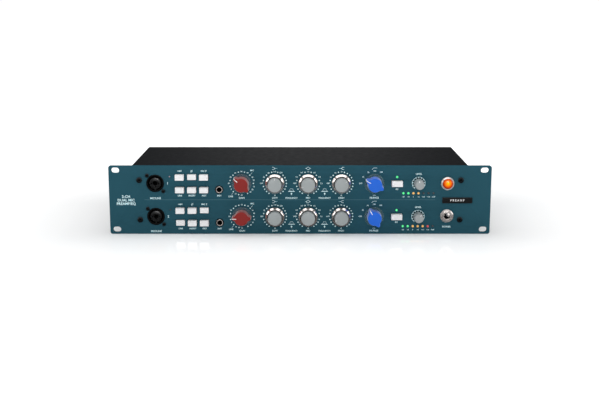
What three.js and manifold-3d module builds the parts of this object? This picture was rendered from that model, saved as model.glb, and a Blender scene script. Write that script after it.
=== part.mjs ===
// A two-channel microphone preamp with equaliser, in a 19 inch case two rack units high.
// Millimetres. +X is right as seen from the front, +Y is to the back, +Z is up.
// The origin is the centre of the case's underside, so the case stands on z = 0.
import * as THREE from "three";
import { mergeVertices } from "three/addons/utils/BufferGeometryUtils.js";
import Module from "manifold-3d";

const wasm = await Module();
wasm.setup();

// ---- Driving dimensions ----------------------------------------------------------------

const PANEL = { width: 482.6, height: 88.1, thickness: 3, corner: 3 };
const EAR = { inner: 217, proud: 0.25 }; // the ears stand proud of the panel's back
const CASE = { width: 430, depth: 167, height: 85.5, sheet: 1.2, sideLip: 12, rearLip: 7.5 };
const GAP = 0.3; // left between pieces that touch or fit in one another
const RACK_SLOT = { spacingX: 465.1, spacingZ: 76.2, length: 10, width: 6.8 };

const CASE_BACK = CASE.depth / 2;
const PANEL_BACK = -CASE.depth / 2;
const PANEL_FRONT = PANEL_BACK - PANEL.thickness;
const SIDE_INNER = CASE.width / 2 - CASE.sheet;
const MID_Z = PANEL.height / 2;
const CHANNEL_RISE = 21.35; // from the panel's middle line to each channel's knob line
const CHANNELS = [
  { number: 1, z: MID_Z + CHANNEL_RISE },
  { number: 2, z: MID_Z - CHANNEL_RISE },
];

// Places on the panel: x from the middle of the panel, z from the channel's knob line.
const COMBO_X = -182.7;
const COMBO_SCREW = 10;
const BUTTON_X = [-151.7, -136.45, -121.2];
const BUTTON_RISE = 8.1;
const JACK = { x: -102, z: -BUTTON_RISE };
const GAIN_X = -73.7;
const EQ_X = { low: -31.8, mid: 10.2, high: 52.2 };
const HIPASS_X = 93.9;
const EQ_BUTTON_X = 122.4;
const EQ_LED_Z = 8.1;
const PHANTOM_LED = { x: -164.3, z: 8.7 };
const LEVEL_X = 149.7;
const METER = { x: 149.7, z: -12.7, pitch: 6.35, count: 7 };
const POWER_X = 186.1;
const LAMP_Z = CHANNELS[0].z;
const TOGGLE_Z = CHANNELS[1].z + 1;
const BADGE = { x: 198.9, z: 43.6, width: 38, height: 7.4, thickness: 1.2 };
const PANEL_SCREW = { x: 202.7, rise: 25.5 };

// Radii of round openings in the panel, and the size of the button windows.
const HOLE = {
  shaft: 4.2,
  sleeve: 4.6,
  led: 1.8,
  combo: 11.2,
  jack: 5.4,
  lamp: 6.6,
  toggle: 5.8,
  screw: 2.3,
  small: 1.9,
};
const BUTTON = { width: 11, height: 7, out: 6.5, inner: 2, travel: 4, stem: 4, stemLength: 10 };
const WIDE_BUTTON_WIDTH = 13.7;
const WINDOW_GAP = 0.45;

// Control board, upright behind the panel. These are distances behind the panel's face.
const BOARD = { front: 20, thickness: 1.6, left: -167.5, right: 174, bottom: 6, top: 81 };
const POT = { radius: 8.2, small: 6, front: 9, boreEnd: 14.5 };
const SWITCH = { halfWidth: 4.8, halfHeight: 4.2, front: 7.2, bore: 2.5, boreEnd: 18 };
const SHAFT_END = 12.5;

// Where each control stands at rest, as the angle of its mark: 0 points right, 90 points up.
const POINTER = {
  gain: [135, 180],
  hipass: [150, 120],
  level: [97, 60],
  low: { ring: [120, 90], knob: [90, 204] },
  mid: { ring: [150, 90], knob: [197, 90] },
  high: { ring: [150, 90], knob: [38, 200] },
};
const LATCHED_IN = ["polarity_button_1", "mic_z_button_2", "line_button_2"];
const BUTTON_NAMES = [
  ["phantom_button", "polarity_button", "mic_z_button"],
  ["line_button", "insert_button", "inst_button"],
];

// Rear wall: x from the middle of the case, and heights.
const REAR = { xlrX: -160, inletX: 176, inletZ: 30, rows: [64, 22] };
const REAR_JACK = { x: -111, spacing: 22, halfWidth: 20, halfHeight: 8, proud: 1.2, bore: 3.25 };
const XLR = {
  plateWidth: 26,
  plateHeight: 31,
  plate: 2,
  body: 11.4,
  cup: 8.2,
  depth: 18,
  screwX: 9.5,
  screwZ: 12,
};
const INLET = {
  width: 27,
  height: 20,
  flangeWidth: 48,
  flangeHeight: 22,
  depth: 22,
  recessWidth: 24.5,
  recessHeight: 16.5,
  recess: 16,
};
const MAIN_BOARD = { left: -196, right: 84, front: -46, back: 58, z: 8, thickness: 1.6 };

// ---- Solids ----------------------------------------------------------------------------

const SEGMENTS = 16;
const KNOB_SEGMENTS = 18;
const QUARTER = Math.PI / 2;
const radians = (degrees) => (degrees * Math.PI) / 180;

function solid(geometry) {
  const bare = geometry.clone();
  bare.deleteAttribute("normal");
  bare.deleteAttribute("uv");
  const merged = mergeVertices(bare, 1e-4);
  return new wasm.Manifold(
    new wasm.Mesh({
      numProp: 3,
      vertProperties: merged.attributes.position.array,
      triVerts: new Uint32Array(merged.index.array),
    }),
  );
}

function geometryOf(manifold) {
  const made = manifold.getMesh();
  const geometry = new THREE.BufferGeometry();
  geometry.setAttribute("position", new THREE.BufferAttribute(made.vertProperties, 3));
  geometry.setIndex(new THREE.BufferAttribute(made.triVerts, 1));
  geometry.computeVertexNormals();
  return geometry;
}

const join = (...pieces) => geometryOf(pieces.map(solid).reduce((a, b) => a.add(b)));

const cut = (piece, ...tools) => geometryOf(tools.map(solid).reduce((a, b) => a.subtract(b), solid(piece)));

function block(x0, x1, y0, y1, z0, z1) {
  const box = new THREE.BoxGeometry(x1 - x0, y1 - y0, z1 - z0);
  return box.translate((x0 + x1) / 2, (y0 + y1) / 2, (z0 + z1) / 2);
}

// A round rod along Y.
function rod(radius, y0, y1, segments = SEGMENTS) {
  return new THREE.CylinderGeometry(radius, radius, y1 - y0, segments).translate(0, (y0 + y1) / 2, 0);
}

// A round post along Z.
function post(radius, z0, z1, segments = SEGMENTS) {
  return rod(radius, z0, z1, segments).rotateX(QUARTER);
}

// A profile of [radius, y] points turned about Y. It runs from the front to the back and
// starts and ends on the axis, or it ends on its first point.
function turned(profile, segments = SEGMENTS) {
  return new THREE.LatheGeometry(
    profile.map(([radius, y]) => new THREE.Vector2(radius, y)),
    segments,
  );
}

// A flat outline in X and Z, thickened from y0 back to y1. Each arc of it is drawn with
// twice as many sides as divisions.
function plate(shape, y0, y1, divisions = 2) {
  const flat = new THREE.ExtrudeGeometry(shape, {
    depth: y1 - y0,
    bevelEnabled: false,
    curveSegments: divisions,
  });
  return flat.rotateX(QUARTER).translate(0, y1, 0);
}

function roundedRectangle(x0, x1, z0, z1, r) {
  const shape = new THREE.Shape();
  shape.absarc(x1 - r, z0 + r, r, -QUARTER, 0, false);
  shape.absarc(x1 - r, z1 - r, r, 0, QUARTER, false);
  shape.absarc(x0 + r, z1 - r, r, QUARTER, 2 * QUARTER, false);
  shape.absarc(x0 + r, z0 + r, r, 2 * QUARTER, 3 * QUARTER, false);
  return shape.closePath();
}

function rectangle(x, z, width, height) {
  const shape = new THREE.Shape();
  shape.moveTo(x - width / 2, z - height / 2);
  shape.lineTo(x + width / 2, z - height / 2);
  shape.lineTo(x + width / 2, z + height / 2);
  shape.lineTo(x - width / 2, z + height / 2);
  return shape.closePath();
}

function slot(x, z, length, width) {
  const shape = new THREE.Shape();
  shape.absarc(x + (length - width) / 2, z, width / 2, -QUARTER, QUARTER, false);
  shape.absarc(x - (length - width) / 2, z, width / 2, QUARTER, 3 * QUARTER, false);
  return shape.closePath();
}

// ---- The scene graph -------------------------------------------------------------------

const preamp = new THREE.Group();
const onPanel = new THREE.Group(); // y = 0 on the panel's face, and minus y towards the user
onPanel.position.y = PANEL_FRONT;
preamp.add(onPanel);

const MATERIALS = {
  panel_paint: { color: 0x2c5462, roughness: 0.45, metalness: 0.1 },
  case_paint: { color: 0x2b2c2e, roughness: 0.55, metalness: 0.2 },
  white_plastic: { color: 0xe9e7e6, roughness: 0.4, metalness: 0 },
  red_plastic: { color: 0x9c2b30, roughness: 0.4, metalness: 0 },
  blue_plastic: { color: 0x2468d8, roughness: 0.4, metalness: 0 },
  grey_plastic: { color: 0xa3a6a6, roughness: 0.5, metalness: 0 },
  black_plastic: { color: 0x17181a, roughness: 0.45, metalness: 0 },
  chrome: { color: 0xd9d6d2, roughness: 0.15, metalness: 1 },
  amber_lens: { color: 0xf06a10, roughness: 0.15, metalness: 0 },
  led_lens: { color: 0x3fd27e, roughness: 0.25, metalness: 0 },
  black_steel: { color: 0x141517, roughness: 0.4, metalness: 0.6 },
  board: { color: 0x1e5a3a, roughness: 0.6, metalness: 0 },
  winding: { color: 0xb8792c, roughness: 0.5, metalness: 0.2 },
};

function place(name, geometry, material, parent, x = 0, y = 0, z = 0) {
  const mesh = new THREE.Mesh(geometry, new THREE.MeshStandardMaterial(MATERIALS[material]));
  mesh.name = name;
  mesh.position.set(x, y, z);
  parent.add(mesh);
  return mesh;
}

// Turns a control that was made with its mark to the right, so that the mark stands at the
// given angle.
function pointTo(mesh, degrees) {
  mesh.rotation.y = -radians(degrees);
}

// ---- Front panel -----------------------------------------------------------------------

function roundHole(x, z, radius) {
  const sides = radius < 3 ? 8 : radius < 6 ? 12 : 18;
  return rod(radius, -1, PANEL.thickness + 1, sides).translate(x, 0, z);
}

const panelCut = (shape) => plate(shape, -1, PANEL.thickness + 1);

function mountingOpenings() {
  const openings = [];
  const half = { x: RACK_SLOT.spacingX / 2, z: RACK_SLOT.spacingZ / 2 };
  for (const side of [-1, 1]) {
    for (const end of [-1, 1]) {
      const rackSlot = slot(side * half.x, MID_Z + end * half.z, RACK_SLOT.length, RACK_SLOT.width);
      openings.push(panelCut(rackSlot));
      openings.push(roundHole(side * PANEL_SCREW.x, MID_Z + end * PANEL_SCREW.rise, HOLE.screw));
    }
  }
  return openings;
}

function channelOpenings(z) {
  const openings = [
    roundHole(COMBO_X, z, HOLE.combo),
    roundHole(COMBO_X - COMBO_SCREW, z + COMBO_SCREW, HOLE.small),
    roundHole(COMBO_X + COMBO_SCREW, z - COMBO_SCREW, HOLE.small),
    roundHole(PHANTOM_LED.x, z + PHANTOM_LED.z, HOLE.led),
    roundHole(JACK.x, z + JACK.z, HOLE.jack),
    roundHole(GAIN_X, z, HOLE.shaft),
    roundHole(HIPASS_X, z, HOLE.shaft),
    buttonWindow(EQ_BUTTON_X, z, WIDE_BUTTON_WIDTH),
    roundHole(EQ_BUTTON_X, z + EQ_LED_Z, HOLE.led),
    roundHole(LEVEL_X, z, HOLE.shaft),
  ];
  for (const x of BUTTON_X) {
    openings.push(buttonWindow(x, z + BUTTON_RISE, BUTTON.width));
    openings.push(buttonWindow(x, z - BUTTON_RISE, BUTTON.width));
  }
  for (const x of Object.values(EQ_X)) openings.push(roundHole(x, z, HOLE.sleeve));
  for (let i = 0; i < METER.count; i++) openings.push(roundHole(meterX(i), z + METER.z, HOLE.led));
  return openings;
}

function buttonWindow(x, z, width) {
  return panelCut(rectangle(x, z, width + 2 * WINDOW_GAP, BUTTON.height + 2 * WINDOW_GAP));
}

const meterX = (i) => METER.x + (i - (METER.count - 1) / 2) * METER.pitch;

function frontPanel() {
  const half = PANEL.width / 2;
  const { thickness, height } = PANEL;
  const outline = roundedRectangle(-half, half, 0, height, PANEL.corner);
  return cut(
    plate(outline, 0, thickness + EAR.proud),
    block(-EAR.inner, EAR.inner, thickness, thickness + 1, -1, height + 1),
    ...mountingOpenings(),
    ...CHANNELS.flatMap(({ z }) => channelOpenings(z)),
    roundHole(POWER_X, LAMP_Z, HOLE.lamp),
    roundHole(POWER_X, TOGGLE_Z, HOLE.toggle),
  );
}

function badge() {
  const half = { x: BADGE.width / 2, z: BADGE.height / 2 };
  const face = roundedRectangle(-half.x, half.x, -half.z, half.z, 0.6);
  return plate(face, -BADGE.thickness, -GAP / 2);
}

// Button-head screw with a hexagon socket, through the panel into the case's front flange.
function panelScrew() {
  const HEAD = 3.7;
  const head = turned([
    [0, -1.9],
    [2.4, -1.8],
    [HEAD, -0.7],
    [HEAD, -GAP / 2],
    [1.9, -GAP / 2],
    [1.9, 8],
    [0, 8],
  ], 12);
  return cut(head, rod(1.4, -3, -0.6, 6));
}

// ---- Inputs on the panel ---------------------------------------------------------------

// Combined XLR and 6.35 mm socket. The annular groove takes the XLR plug's shell, and the
// middle takes a jack plug. Its two panel screws are part of it here.
function comboSocket() {
  const NOSE = 10.9;
  const BODY = 11.9;
  const LENGTH = 34;
  const body = turned([
    [0, 31],
    [3.25, 31],
    [3.25, 0.4],
    [7.3, 0.4],
    [7.3, 14],
    [9.1, 14],
    [9.1, -0.6],
    [NOSE, -0.6],
    [NOSE, 3 + GAP],
    [BODY, 3 + GAP],
    [BODY, LENGTH],
    [0, LENGTH],
  ]);
  const flange = block(-13, 13, 3 + GAP, 5.5, -13, 13);
  const flangeHole = rod(10, 0, 9);
  const pieces = [body, cut(flange, flangeHole)];
  for (const side of [-1, 1]) {
    const screw = turned([
      [0, -1.7],
      [1.7, -1.5],
      [2.6, -0.6],
      [2.6, -GAP / 2],
      [1.5, -GAP / 2],
      [1.5, 6],
      [0, 6],
    ], 8);
    pieces.push(screw.translate(side * COMBO_SCREW, 0, -side * COMBO_SCREW));
  }
  const contacts = [0, 180, 270].map((angle) => {
    const reach = 5.3;
    const hole = rod(1.15, -2, 12, 6);
    return hole.translate(reach * Math.cos(radians(angle)), 0, reach * Math.sin(radians(angle)));
  });
  return cut(join(...pieces), ...contacts);
}

// Socket for a 6.35 mm plug: metal nose in the panel's hole, box-shaped body behind it.
function instrumentSocket() {
  const sleeve = turned([
    [0, 28],
    [3.25, 28],
    [3.25, -0.8],
    [4.5, -0.8],
    [4.5, 0.4],
    [5.1, 0.4],
    [5.1, 30],
    [0, 30],
  ]);
  return join(sleeve, cut(block(-8, 8, 3 + GAP, 30.5, -6.6, 6.6), rod(4, 0, 29)));
}

// ---- Buttons and knobs -----------------------------------------------------------------

function buttonCap(width) {
  const { out, inner, height } = BUTTON;
  const cap = block(-width / 2, width / 2, -out, inner, -height / 2, height / 2);
  const half = BUTTON.stem / 2;
  return join(cap, block(-half, half, 0, BUTTON.inner + BUTTON.stemLength, -half, half));
}

// A round body with two narrower wings that end in round tips. The mark is on the wing at +X.
function pointerOutline() {
  const BODY = 8.8;
  const WING = 2.7;
  const REACH = 12.3;
  const SWEEP = 1.25;
  const tip = 0.8 * WING;
  const root = Math.asin((WING + 0.9) / BODY);
  const neck = Math.sqrt(BODY ** 2 - WING ** 2) + 0.7;
  const outline = new THREE.Shape();
  outline.moveTo(neck, -WING);
  outline.absarc(REACH - tip, 0, tip, -SWEEP, SWEEP, false);
  outline.lineTo(neck, WING);
  outline.absarc(0, 0, BODY, root, Math.PI - root, false);
  outline.lineTo(-neck, WING);
  outline.absarc(tip - REACH, 0, tip, Math.PI - SWEEP, Math.PI + SWEEP, false);
  outline.lineTo(-neck, -WING);
  outline.absarc(0, 0, BODY, Math.PI + root, 2 * Math.PI - root, false);
  outline.closePath();
  return outline;
}

// The pointer knob stands on a thin disc.
function pointerKnob() {
  const HEIGHT = 16;
  const disc = rod(12.5, -2.4, -0.9, 24);
  return join(plate(pointerOutline(), -HEIGHT, -2, 4), disc, rod(3, -2, SHAFT_END, 10));
}

// Outer knob of a pair: a tapered ring on a tube, with the inner knob's shaft running through.
function outerRing() {
  const BORE = 2.6;
  return turned([
    [BORE, -6.4],
    [9.4, -6.4],
    [9.8, -7.6],
    [12.4, -5],
    [12, -0.8],
    [3.8, -0.8],
    [3.8, 11],
    [BORE, 11],
    [BORE, -6.4],
  ], KNOB_SEGMENTS);
}

function innerKnob() {
  const BODY = 8.8;
  return turned([
    [0, -15.6],
    [BODY - 0.5, -15.6],
    [BODY, -15],
    [BODY, -6.9],
    [2.2, -6.9],
    [2.2, SHAFT_END],
    [0, SHAFT_END],
  ], KNOB_SEGMENTS);
}

function levelKnob() {
  return turned([
    [0, -14.2],
    [5.3, -14.2],
    [5.7, -13.8],
    [6.3, -0.8],
    [3, -0.8],
    [3, SHAFT_END],
    [0, SHAFT_END],
  ]);
}

// ---- Lights and power ------------------------------------------------------------------

// Seven lenses that stand on one bar, in the panel's row of holes.
function meterStrip() {
  const bar = block(-21.5, 21.5, PANEL.thickness + 0.8, BOARD.front - GAP, -2.4, 2.4);
  const lenses = Array.from({ length: METER.count }, (_, i) => {
    const lens = turned([
      [0, -0.9],
      [1.5, 0],
      [1.5, 6],
      [0, 6],
    ], 8);
    return lens.translate(meterX(i) - METER.x, 0, 0);
  });
  return join(bar, ...lenses);
}

// Ring round the jewel's shallow seat, in one with the closed lamp holder behind.
function lampBezel() {
  return turned([
    [0, -1.2],
    [6.6, -1.2],
    [6.6, -3.4],
    [7.2, -3.4],
    [8.4, -0.9],
    [8.4, -GAP / 2],
    [6.3, -GAP / 2],
    [6.3, 14],
    [0, 14],
  ]);
}

function lampJewel() {
  return turned([
    [0, -5.8],
    [2.6, -5.6],
    [4.8, -4.9],
    [6.3, -3.6],
    [6.3, -1.35],
    [0, -1.35],
  ]);
}

// Domed nut round the lever's mouth, threaded bush, and the switch's body behind.
function toggleBody() {
  const bush = turned([
    [0, 4.4],
    [3.6, 4.4],
    [3.6, -3],
    [4.6, -3.6],
    [6.6, -3.2],
    [8.4, -1.8],
    [8.4, -GAP / 2],
    [5.4, -GAP / 2],
    [5.4, 8],
    [0, 8],
  ]);
  return join(bush, block(-6.5, 6.5, 7.5, 26, -10, 10));
}

const TOGGLE = { pivot: 0.8, tilt: 16 };

// A bat-shaped lever on a ball. It is made straight, with the ball's centre at its origin.
function toggleLever() {
  return turned([
    [0, -17.8],
    [1.7, -17.4],
    [2.6, -15.6],
    [1.5, -7],
    [1.5, -2.6],
    [3.2, 0],
    [2.6, 1.9],
    [0, 3.2],
  ], 12);
}

// ---- Control board ---------------------------------------------------------------------

// The board behind the panel, with everything that is soldered to it: push switches, pots
// and rotary switches with their bores, light guides for the single lamps, and spacers.
function controlBoard() {
  const { front, thickness, left, right, bottom, top } = BOARD;
  const stuck = front + 0.2;
  const pieces = [block(left, right, front, front + thickness, bottom, top)];
  const bores = [];
  const addPot = (x, z, radius, boreRadius) => {
    pieces.push(rod(radius, POT.front, stuck, 10).translate(x, 0, z));
    bores.push(rod(boreRadius, POT.front - 1, POT.boreEnd, 8).translate(x, 0, z));
  };
  const addSwitch = (x, z) => {
    const { halfWidth, halfHeight, bore, boreEnd } = SWITCH;
    pieces.push(block(x - halfWidth, x + halfWidth, SWITCH.front, stuck, z - halfHeight, z + halfHeight));
    bores.push(block(x - bore, x + bore, SWITCH.front - 1, boreEnd, z - bore, z + bore));
  };
  for (const { z } of CHANNELS) {
    for (const x of BUTTON_X) {
      addSwitch(x, z + BUTTON_RISE);
      addSwitch(x, z - BUTTON_RISE);
    }
    addSwitch(EQ_BUTTON_X, z);
    addPot(GAIN_X, z, POT.radius, HOLE.shaft - 0.4);
    for (const x of Object.values(EQ_X)) addPot(x, z, POT.radius, HOLE.sleeve);
    addPot(HIPASS_X, z, POT.radius, HOLE.shaft - 0.4);
    addPot(LEVEL_X, z, POT.small, HOLE.shaft - 0.4);
    pieces.push(rod(1.3, 1, stuck, 8).translate(EQ_BUTTON_X, 0, z + EQ_LED_Z));
    pieces.push(rod(1.3, 1, stuck, 8).translate(PHANTOM_LED.x, 0, z + PHANTOM_LED.z));
    const jackZ = z + JACK.z;
    bores.push(block(JACK.x - 9, JACK.x + 9, front - 1, front + 3, jackZ - 7.6, jackZ + 7.6));
  }
  for (const x of [-161, -53, 73, 170]) {
    pieces.push(rod(2.5, PANEL.thickness + GAP, stuck, 6).translate(x, 0, MID_Z));
  }
  return cut(join(...pieces), ...bores);
}

// ---- Case ------------------------------------------------------------------------------

// Bottom, with low lips at the sides and rear, and the two front flanges that hold the panel.
function chassisTray() {
  const x = SIDE_INNER - GAP;
  const s = CASE.sheet;
  const top = CASE.height - CASE.sheet - GAP;
  const front = PANEL_BACK + GAP;
  const back = CASE_BACK - s - GAP;
  const FLANGE = 15;
  const pieces = [block(-x, x, front, back, 0, s), block(-x, x, back - s, back, 0, CASE.rearLip)];
  for (const side of [-1, 1]) {
    const lip = side * (x - s / 2);
    pieces.push(block(lip - s / 2, lip + s / 2, front, back, 0, CASE.sideLip));
    const flange = side * (x - FLANGE / 2);
    pieces.push(block(flange - FLANGE / 2, flange + FLANGE / 2, front, front + s, 0, top));
  }
  return cut(join(...pieces), ...flangeHoles(front, s));
}

// Rear wall with the openings for its sockets, folded forward along its top.
function rearPanel() {
  const x = SIDE_INNER - GAP;
  const s = CASE.sheet;
  const top = CASE.height - CASE.sheet - GAP;
  const wall = block(-x, x, CASE_BACK - s, CASE_BACK, 0, top);
  const fold = block(-x, x, CASE_BACK - 9, CASE_BACK, top - s, top);
  return cut(join(wall, fold), ...rearOpenings());
}

function rearOpenings() {
  const y0 = CASE_BACK - 3;
  const y1 = CASE_BACK + 1;
  const window = (x, z, halfX, halfZ) =>
    block(x - halfX - GAP, x + halfX + GAP, y0, y1, z - halfZ - GAP, z + halfZ + GAP);
  const openings = [window(REAR.inletX, REAR.inletZ, INLET.width / 2, INLET.height / 2)];
  for (const z of REAR.rows) {
    openings.push(window(REAR_JACK.x, z, REAR_JACK.halfWidth, REAR_JACK.halfHeight));
    openings.push(rod(XLR.body + GAP, y0, y1).translate(REAR.xlrX, 0, z));
    for (const side of [-1, 1]) {
      const screwHole = rod(HOLE.small, y0, y1, 8);
      openings.push(screwHole.translate(REAR.xlrX + side * XLR.screwX, 0, z - side * XLR.screwZ));
    }
  }
  return openings;
}

function flangeHoles(front, sheet) {
  const holes = [];
  for (const side of [-1, 1]) {
    for (const end of [-1, 1]) {
      const hole = rod(HOLE.screw, front - 1, front + sheet + 1, 8);
      holes.push(hole.translate(side * PANEL_SCREW.x, 0, MID_Z + end * PANEL_SCREW.rise));
    }
  }
  return holes;
}

// Top and both sides in one folded sheet, with a row of vents in each side.
function topCover() {
  const half = CASE.width / 2;
  const { height, sheet } = CASE;
  const BEND = 1.8;
  const outline = new THREE.Shape();
  outline.moveTo(half, 0);
  outline.absarc(half - BEND, height - BEND, BEND, 0, QUARTER, false);
  outline.absarc(-half + BEND, height - BEND, BEND, QUARTER, 2 * QUARTER, false);
  outline.lineTo(-half, 0);
  outline.lineTo(-half + sheet, 0);
  outline.lineTo(-half + sheet, height - sheet);
  outline.lineTo(half - sheet, height - sheet);
  outline.lineTo(half - sheet, 0);
  outline.closePath();
  const folded = plate(outline, PANEL_BACK + GAP, CASE_BACK);
  const VENT = { count: 8, pitch: 9, width: 3.2, bottom: 28, top: 62, firstY: -10 };
  const vents = Array.from({ length: VENT.count }, (_, i) => {
    const y = VENT.firstY + i * VENT.pitch;
    return block(-half - 1, half + 1, y, y + VENT.width, VENT.bottom, VENT.top);
  });
  return cut(folded, ...vents);
}

// ---- Rear sockets ----------------------------------------------------------------------

// Rear pieces are made with the rear wall's outside at y = 0 and minus y inside the case.

function outputXlr() {
  const { plateWidth, plateHeight, plate: thick, body, cup, depth } = XLR;
  const flange = block(-plateWidth / 2, plateWidth / 2, GAP / 2, thick, -plateHeight / 2, plateHeight / 2);
  const barrel = rod(body, -depth, thick);
  const hollow = rod(cup, -14, thick + 1);
  const pins = [0, 180, 90].map((angle) => {
    const reach = 4.15;
    const pin = rod(1.15, -15, -1, 6);
    return pin.translate(reach * Math.cos(radians(angle)), 0, reach * Math.sin(radians(angle)));
  });
  const screws = [-1, 1].map((side) => {
    const screw = join(rod(2.6, thick - 0.2, thick + 1.4, 10), rod(1.4, -4, thick, 6));
    return screw.translate(side * XLR.screwX, 0, -side * XLR.screwZ);
  });
  return join(cut(join(flange, barrel), hollow), ...pins, ...screws);
}

// A channel's send and return sockets for 6.35 mm plugs: one housing on its own upright
// board, with its nose through the rear wall.
function rearJacks() {
  const { spacing, halfWidth, halfHeight, proud, bore } = REAR_JACK;
  const board = block(-halfWidth - 2, halfWidth + 2, -31, -29.4, -12, 12);
  const housing = block(-halfWidth, halfWidth, -29.6, proud, -halfHeight, halfHeight);
  const bores = [-1, 1].map((side) => rod(bore, -27, proud + 1, 12).translate((side * spacing) / 2, 0, 0));
  return cut(join(board, housing), ...bores);
}

// Mains inlet with its three blades in the recess.
function powerInlet() {
  const { width, height, depth, recess } = INLET;
  const flange = { x: INLET.flangeWidth / 2, z: INLET.flangeHeight / 2 };
  const mouth = { x: INLET.recessWidth / 2, z: INLET.recessHeight / 2 };
  const shell = join(
    plate(roundedRectangle(-flange.x, flange.x, -flange.z, flange.z, 5), GAP / 2, 2.6),
    block(-width / 2, width / 2, -depth, 1, -height / 2, height / 2),
  );
  const hollow = block(-mouth.x, mouth.x, -recess, 4, -mouth.z, mouth.z);
  const blades = [
    [-7, -2],
    [7, -2],
    [0, 2],
  ].map(([x, z]) => block(x - 1, x + 1, -recess - 1, -1.5, z - 2, z + 2));
  return join(cut(shell, hollow), ...blades);
}

// ---- Inside ----------------------------------------------------------------------------

const TRANSFORMER_CAN = { x: -150, rows: [22, -12], half: 13, height: 30 };

// Audio board with its spacers, the larger capacitors and both channels' input transformers.
function mainBoard() {
  const { left, right, front, back, z, thickness } = MAIN_BOARD;
  const top = z + thickness;
  const pieces = [block(left, right, front, back, z, top)];
  for (const x of [left + 6, (left + right) / 2, right - 6]) {
    for (const y of [front + 6, back - 6]) {
      pieces.push(post(3, CASE.sheet + GAP, z + 0.2, 6).translate(x, y, 0));
    }
  }
  const CAPACITORS = { firstX: -60, pitch: 24, count: 6, rows: [-24, 4], radius: 6, height: 20 };
  for (let i = 0; i < CAPACITORS.count; i++) {
    for (const y of CAPACITORS.rows) {
      const capacitor = post(CAPACITORS.radius, top - 0.2, top + CAPACITORS.height, 8);
      pieces.push(capacitor.translate(CAPACITORS.firstX + i * CAPACITORS.pitch, y, 0));
    }
  }
  const { x: canX, half, height } = TRANSFORMER_CAN;
  for (const y of TRANSFORMER_CAN.rows) {
    pieces.push(block(canX - half, canX + half, y - half, y + half, top - 0.2, top + height));
  }
  return join(...pieces);
}

// Supply board with two large reservoir capacitors and the regulators' heat sink.
function powerBoard() {
  const bottom = MAIN_BOARD.z;
  const top = bottom + MAIN_BOARD.thickness;
  const pieces = [block(94, 204, -48, -20, bottom, top)];
  for (const x of [100, 198]) {
    pieces.push(post(3, CASE.sheet + GAP, bottom + 0.2, 6).translate(x, -34, 0));
  }
  for (const x of [110, 132]) {
    pieces.push(post(9, top - 0.2, top + 32, 12).translate(x, -34, 0));
  }
  pieces.push(block(152, 192, -40, -37, top - 0.2, top + 30));
  for (let x = 154; x < 192; x += 6) pieces.push(block(x, x + 1.5, -37.2, -28, top + 2, top + 30));
  return join(...pieces);
}

// Ring-shaped mains transformer under a dished washer and bolt.
function mainsTransformer() {
  const ring = turned([
    [0, 2],
    [34, 2],
    [37, 5],
    [37, 33],
    [34, 36],
    [22, 36],
    [20, 37.5],
    [5, 37.5],
    [5, 41],
    [0, 41],
  ]);
  return ring.rotateX(QUARTER);
}

// ---- Assembly --------------------------------------------------------------------------

function addFrame() {
  place("front_panel", frontPanel(), "panel_paint", onPanel);
  place("badge_plate", badge(), "black_plastic", onPanel, BADGE.x, 0, BADGE.z);
  place("chassis_tray", chassisTray(), "case_paint", preamp);
  place("rear_panel", rearPanel(), "case_paint", preamp);
  place("top_cover", topCover(), "case_paint", preamp);
  const ENDS = { upper: 1, lower: -1 };
  const SIDES = { left: -1, right: 1 };
  for (const [endName, end] of Object.entries(ENDS)) {
    for (const [sideName, side] of Object.entries(SIDES)) {
      const name = `panel_screw_${endName}_${sideName}`;
      const z = MID_Z + end * PANEL_SCREW.rise;
      place(name, panelScrew(), "black_steel", onPanel, side * PANEL_SCREW.x, 0, z);
    }
  }
}

function addButtons(channel, line) {
  BUTTON_NAMES.forEach((names, row) => {
    names.forEach((base, column) => {
      const name = `${base}_${channel.number}`;
      const y = LATCHED_IN.includes(name) ? BUTTON.travel : 0;
      const z = row === 0 ? BUTTON_RISE : -BUTTON_RISE;
      place(name, buttonCap(BUTTON.width), "white_plastic", line, BUTTON_X[column], y, z);
    });
  });
  const wideCap = buttonCap(WIDE_BUTTON_WIDTH);
  place(`eq_button_${channel.number}`, wideCap, "white_plastic", line, EQ_BUTTON_X);
}

function addKnobs(channel, line) {
  const n = channel.number;
  const addKnob = (name, geometry, material, x, angle) => {
    pointTo(place(`${name}_${n}`, geometry, material, line, x), angle);
  };
  addKnob("gain_knob", pointerKnob(), "red_plastic", GAIN_X, POINTER.gain[n - 1]);
  for (const [band, x] of Object.entries(EQ_X)) {
    const { ring, knob } = POINTER[band];
    addKnob(`${band}_frequency_ring`, outerRing(), "chrome", x, ring[n - 1]);
    addKnob(`${band}_gain_knob`, innerKnob(), "grey_plastic", x, knob[n - 1]);
  }
  addKnob("hipass_knob", pointerKnob(), "blue_plastic", HIPASS_X, POINTER.hipass[n - 1]);
  addKnob("level_knob", levelKnob(), "grey_plastic", LEVEL_X, POINTER.level[n - 1]);
}

function addChannel(channel) {
  const line = new THREE.Group(); // the channel's knob line
  line.position.z = channel.z;
  onPanel.add(line);
  const n = channel.number;
  place(`combo_jack_${n}`, comboSocket(), "black_plastic", line, COMBO_X);
  place(`inst_jack_${n}`, instrumentSocket(), "chrome", line, JACK.x, 0, JACK.z);
  place(`meter_led_strip_${n}`, meterStrip(), "led_lens", line, METER.x, 0, METER.z);
  addButtons(channel, line);
  addKnobs(channel, line);
  const rearZ = REAR.rows[n - 1];
  place(`output_xlr_${n}`, outputXlr(), "black_plastic", preamp, REAR.xlrX, CASE_BACK, rearZ);
  place(`rear_jacks_${n}`, rearJacks(), "black_plastic", preamp, REAR_JACK.x, CASE_BACK, rearZ);
}

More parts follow.
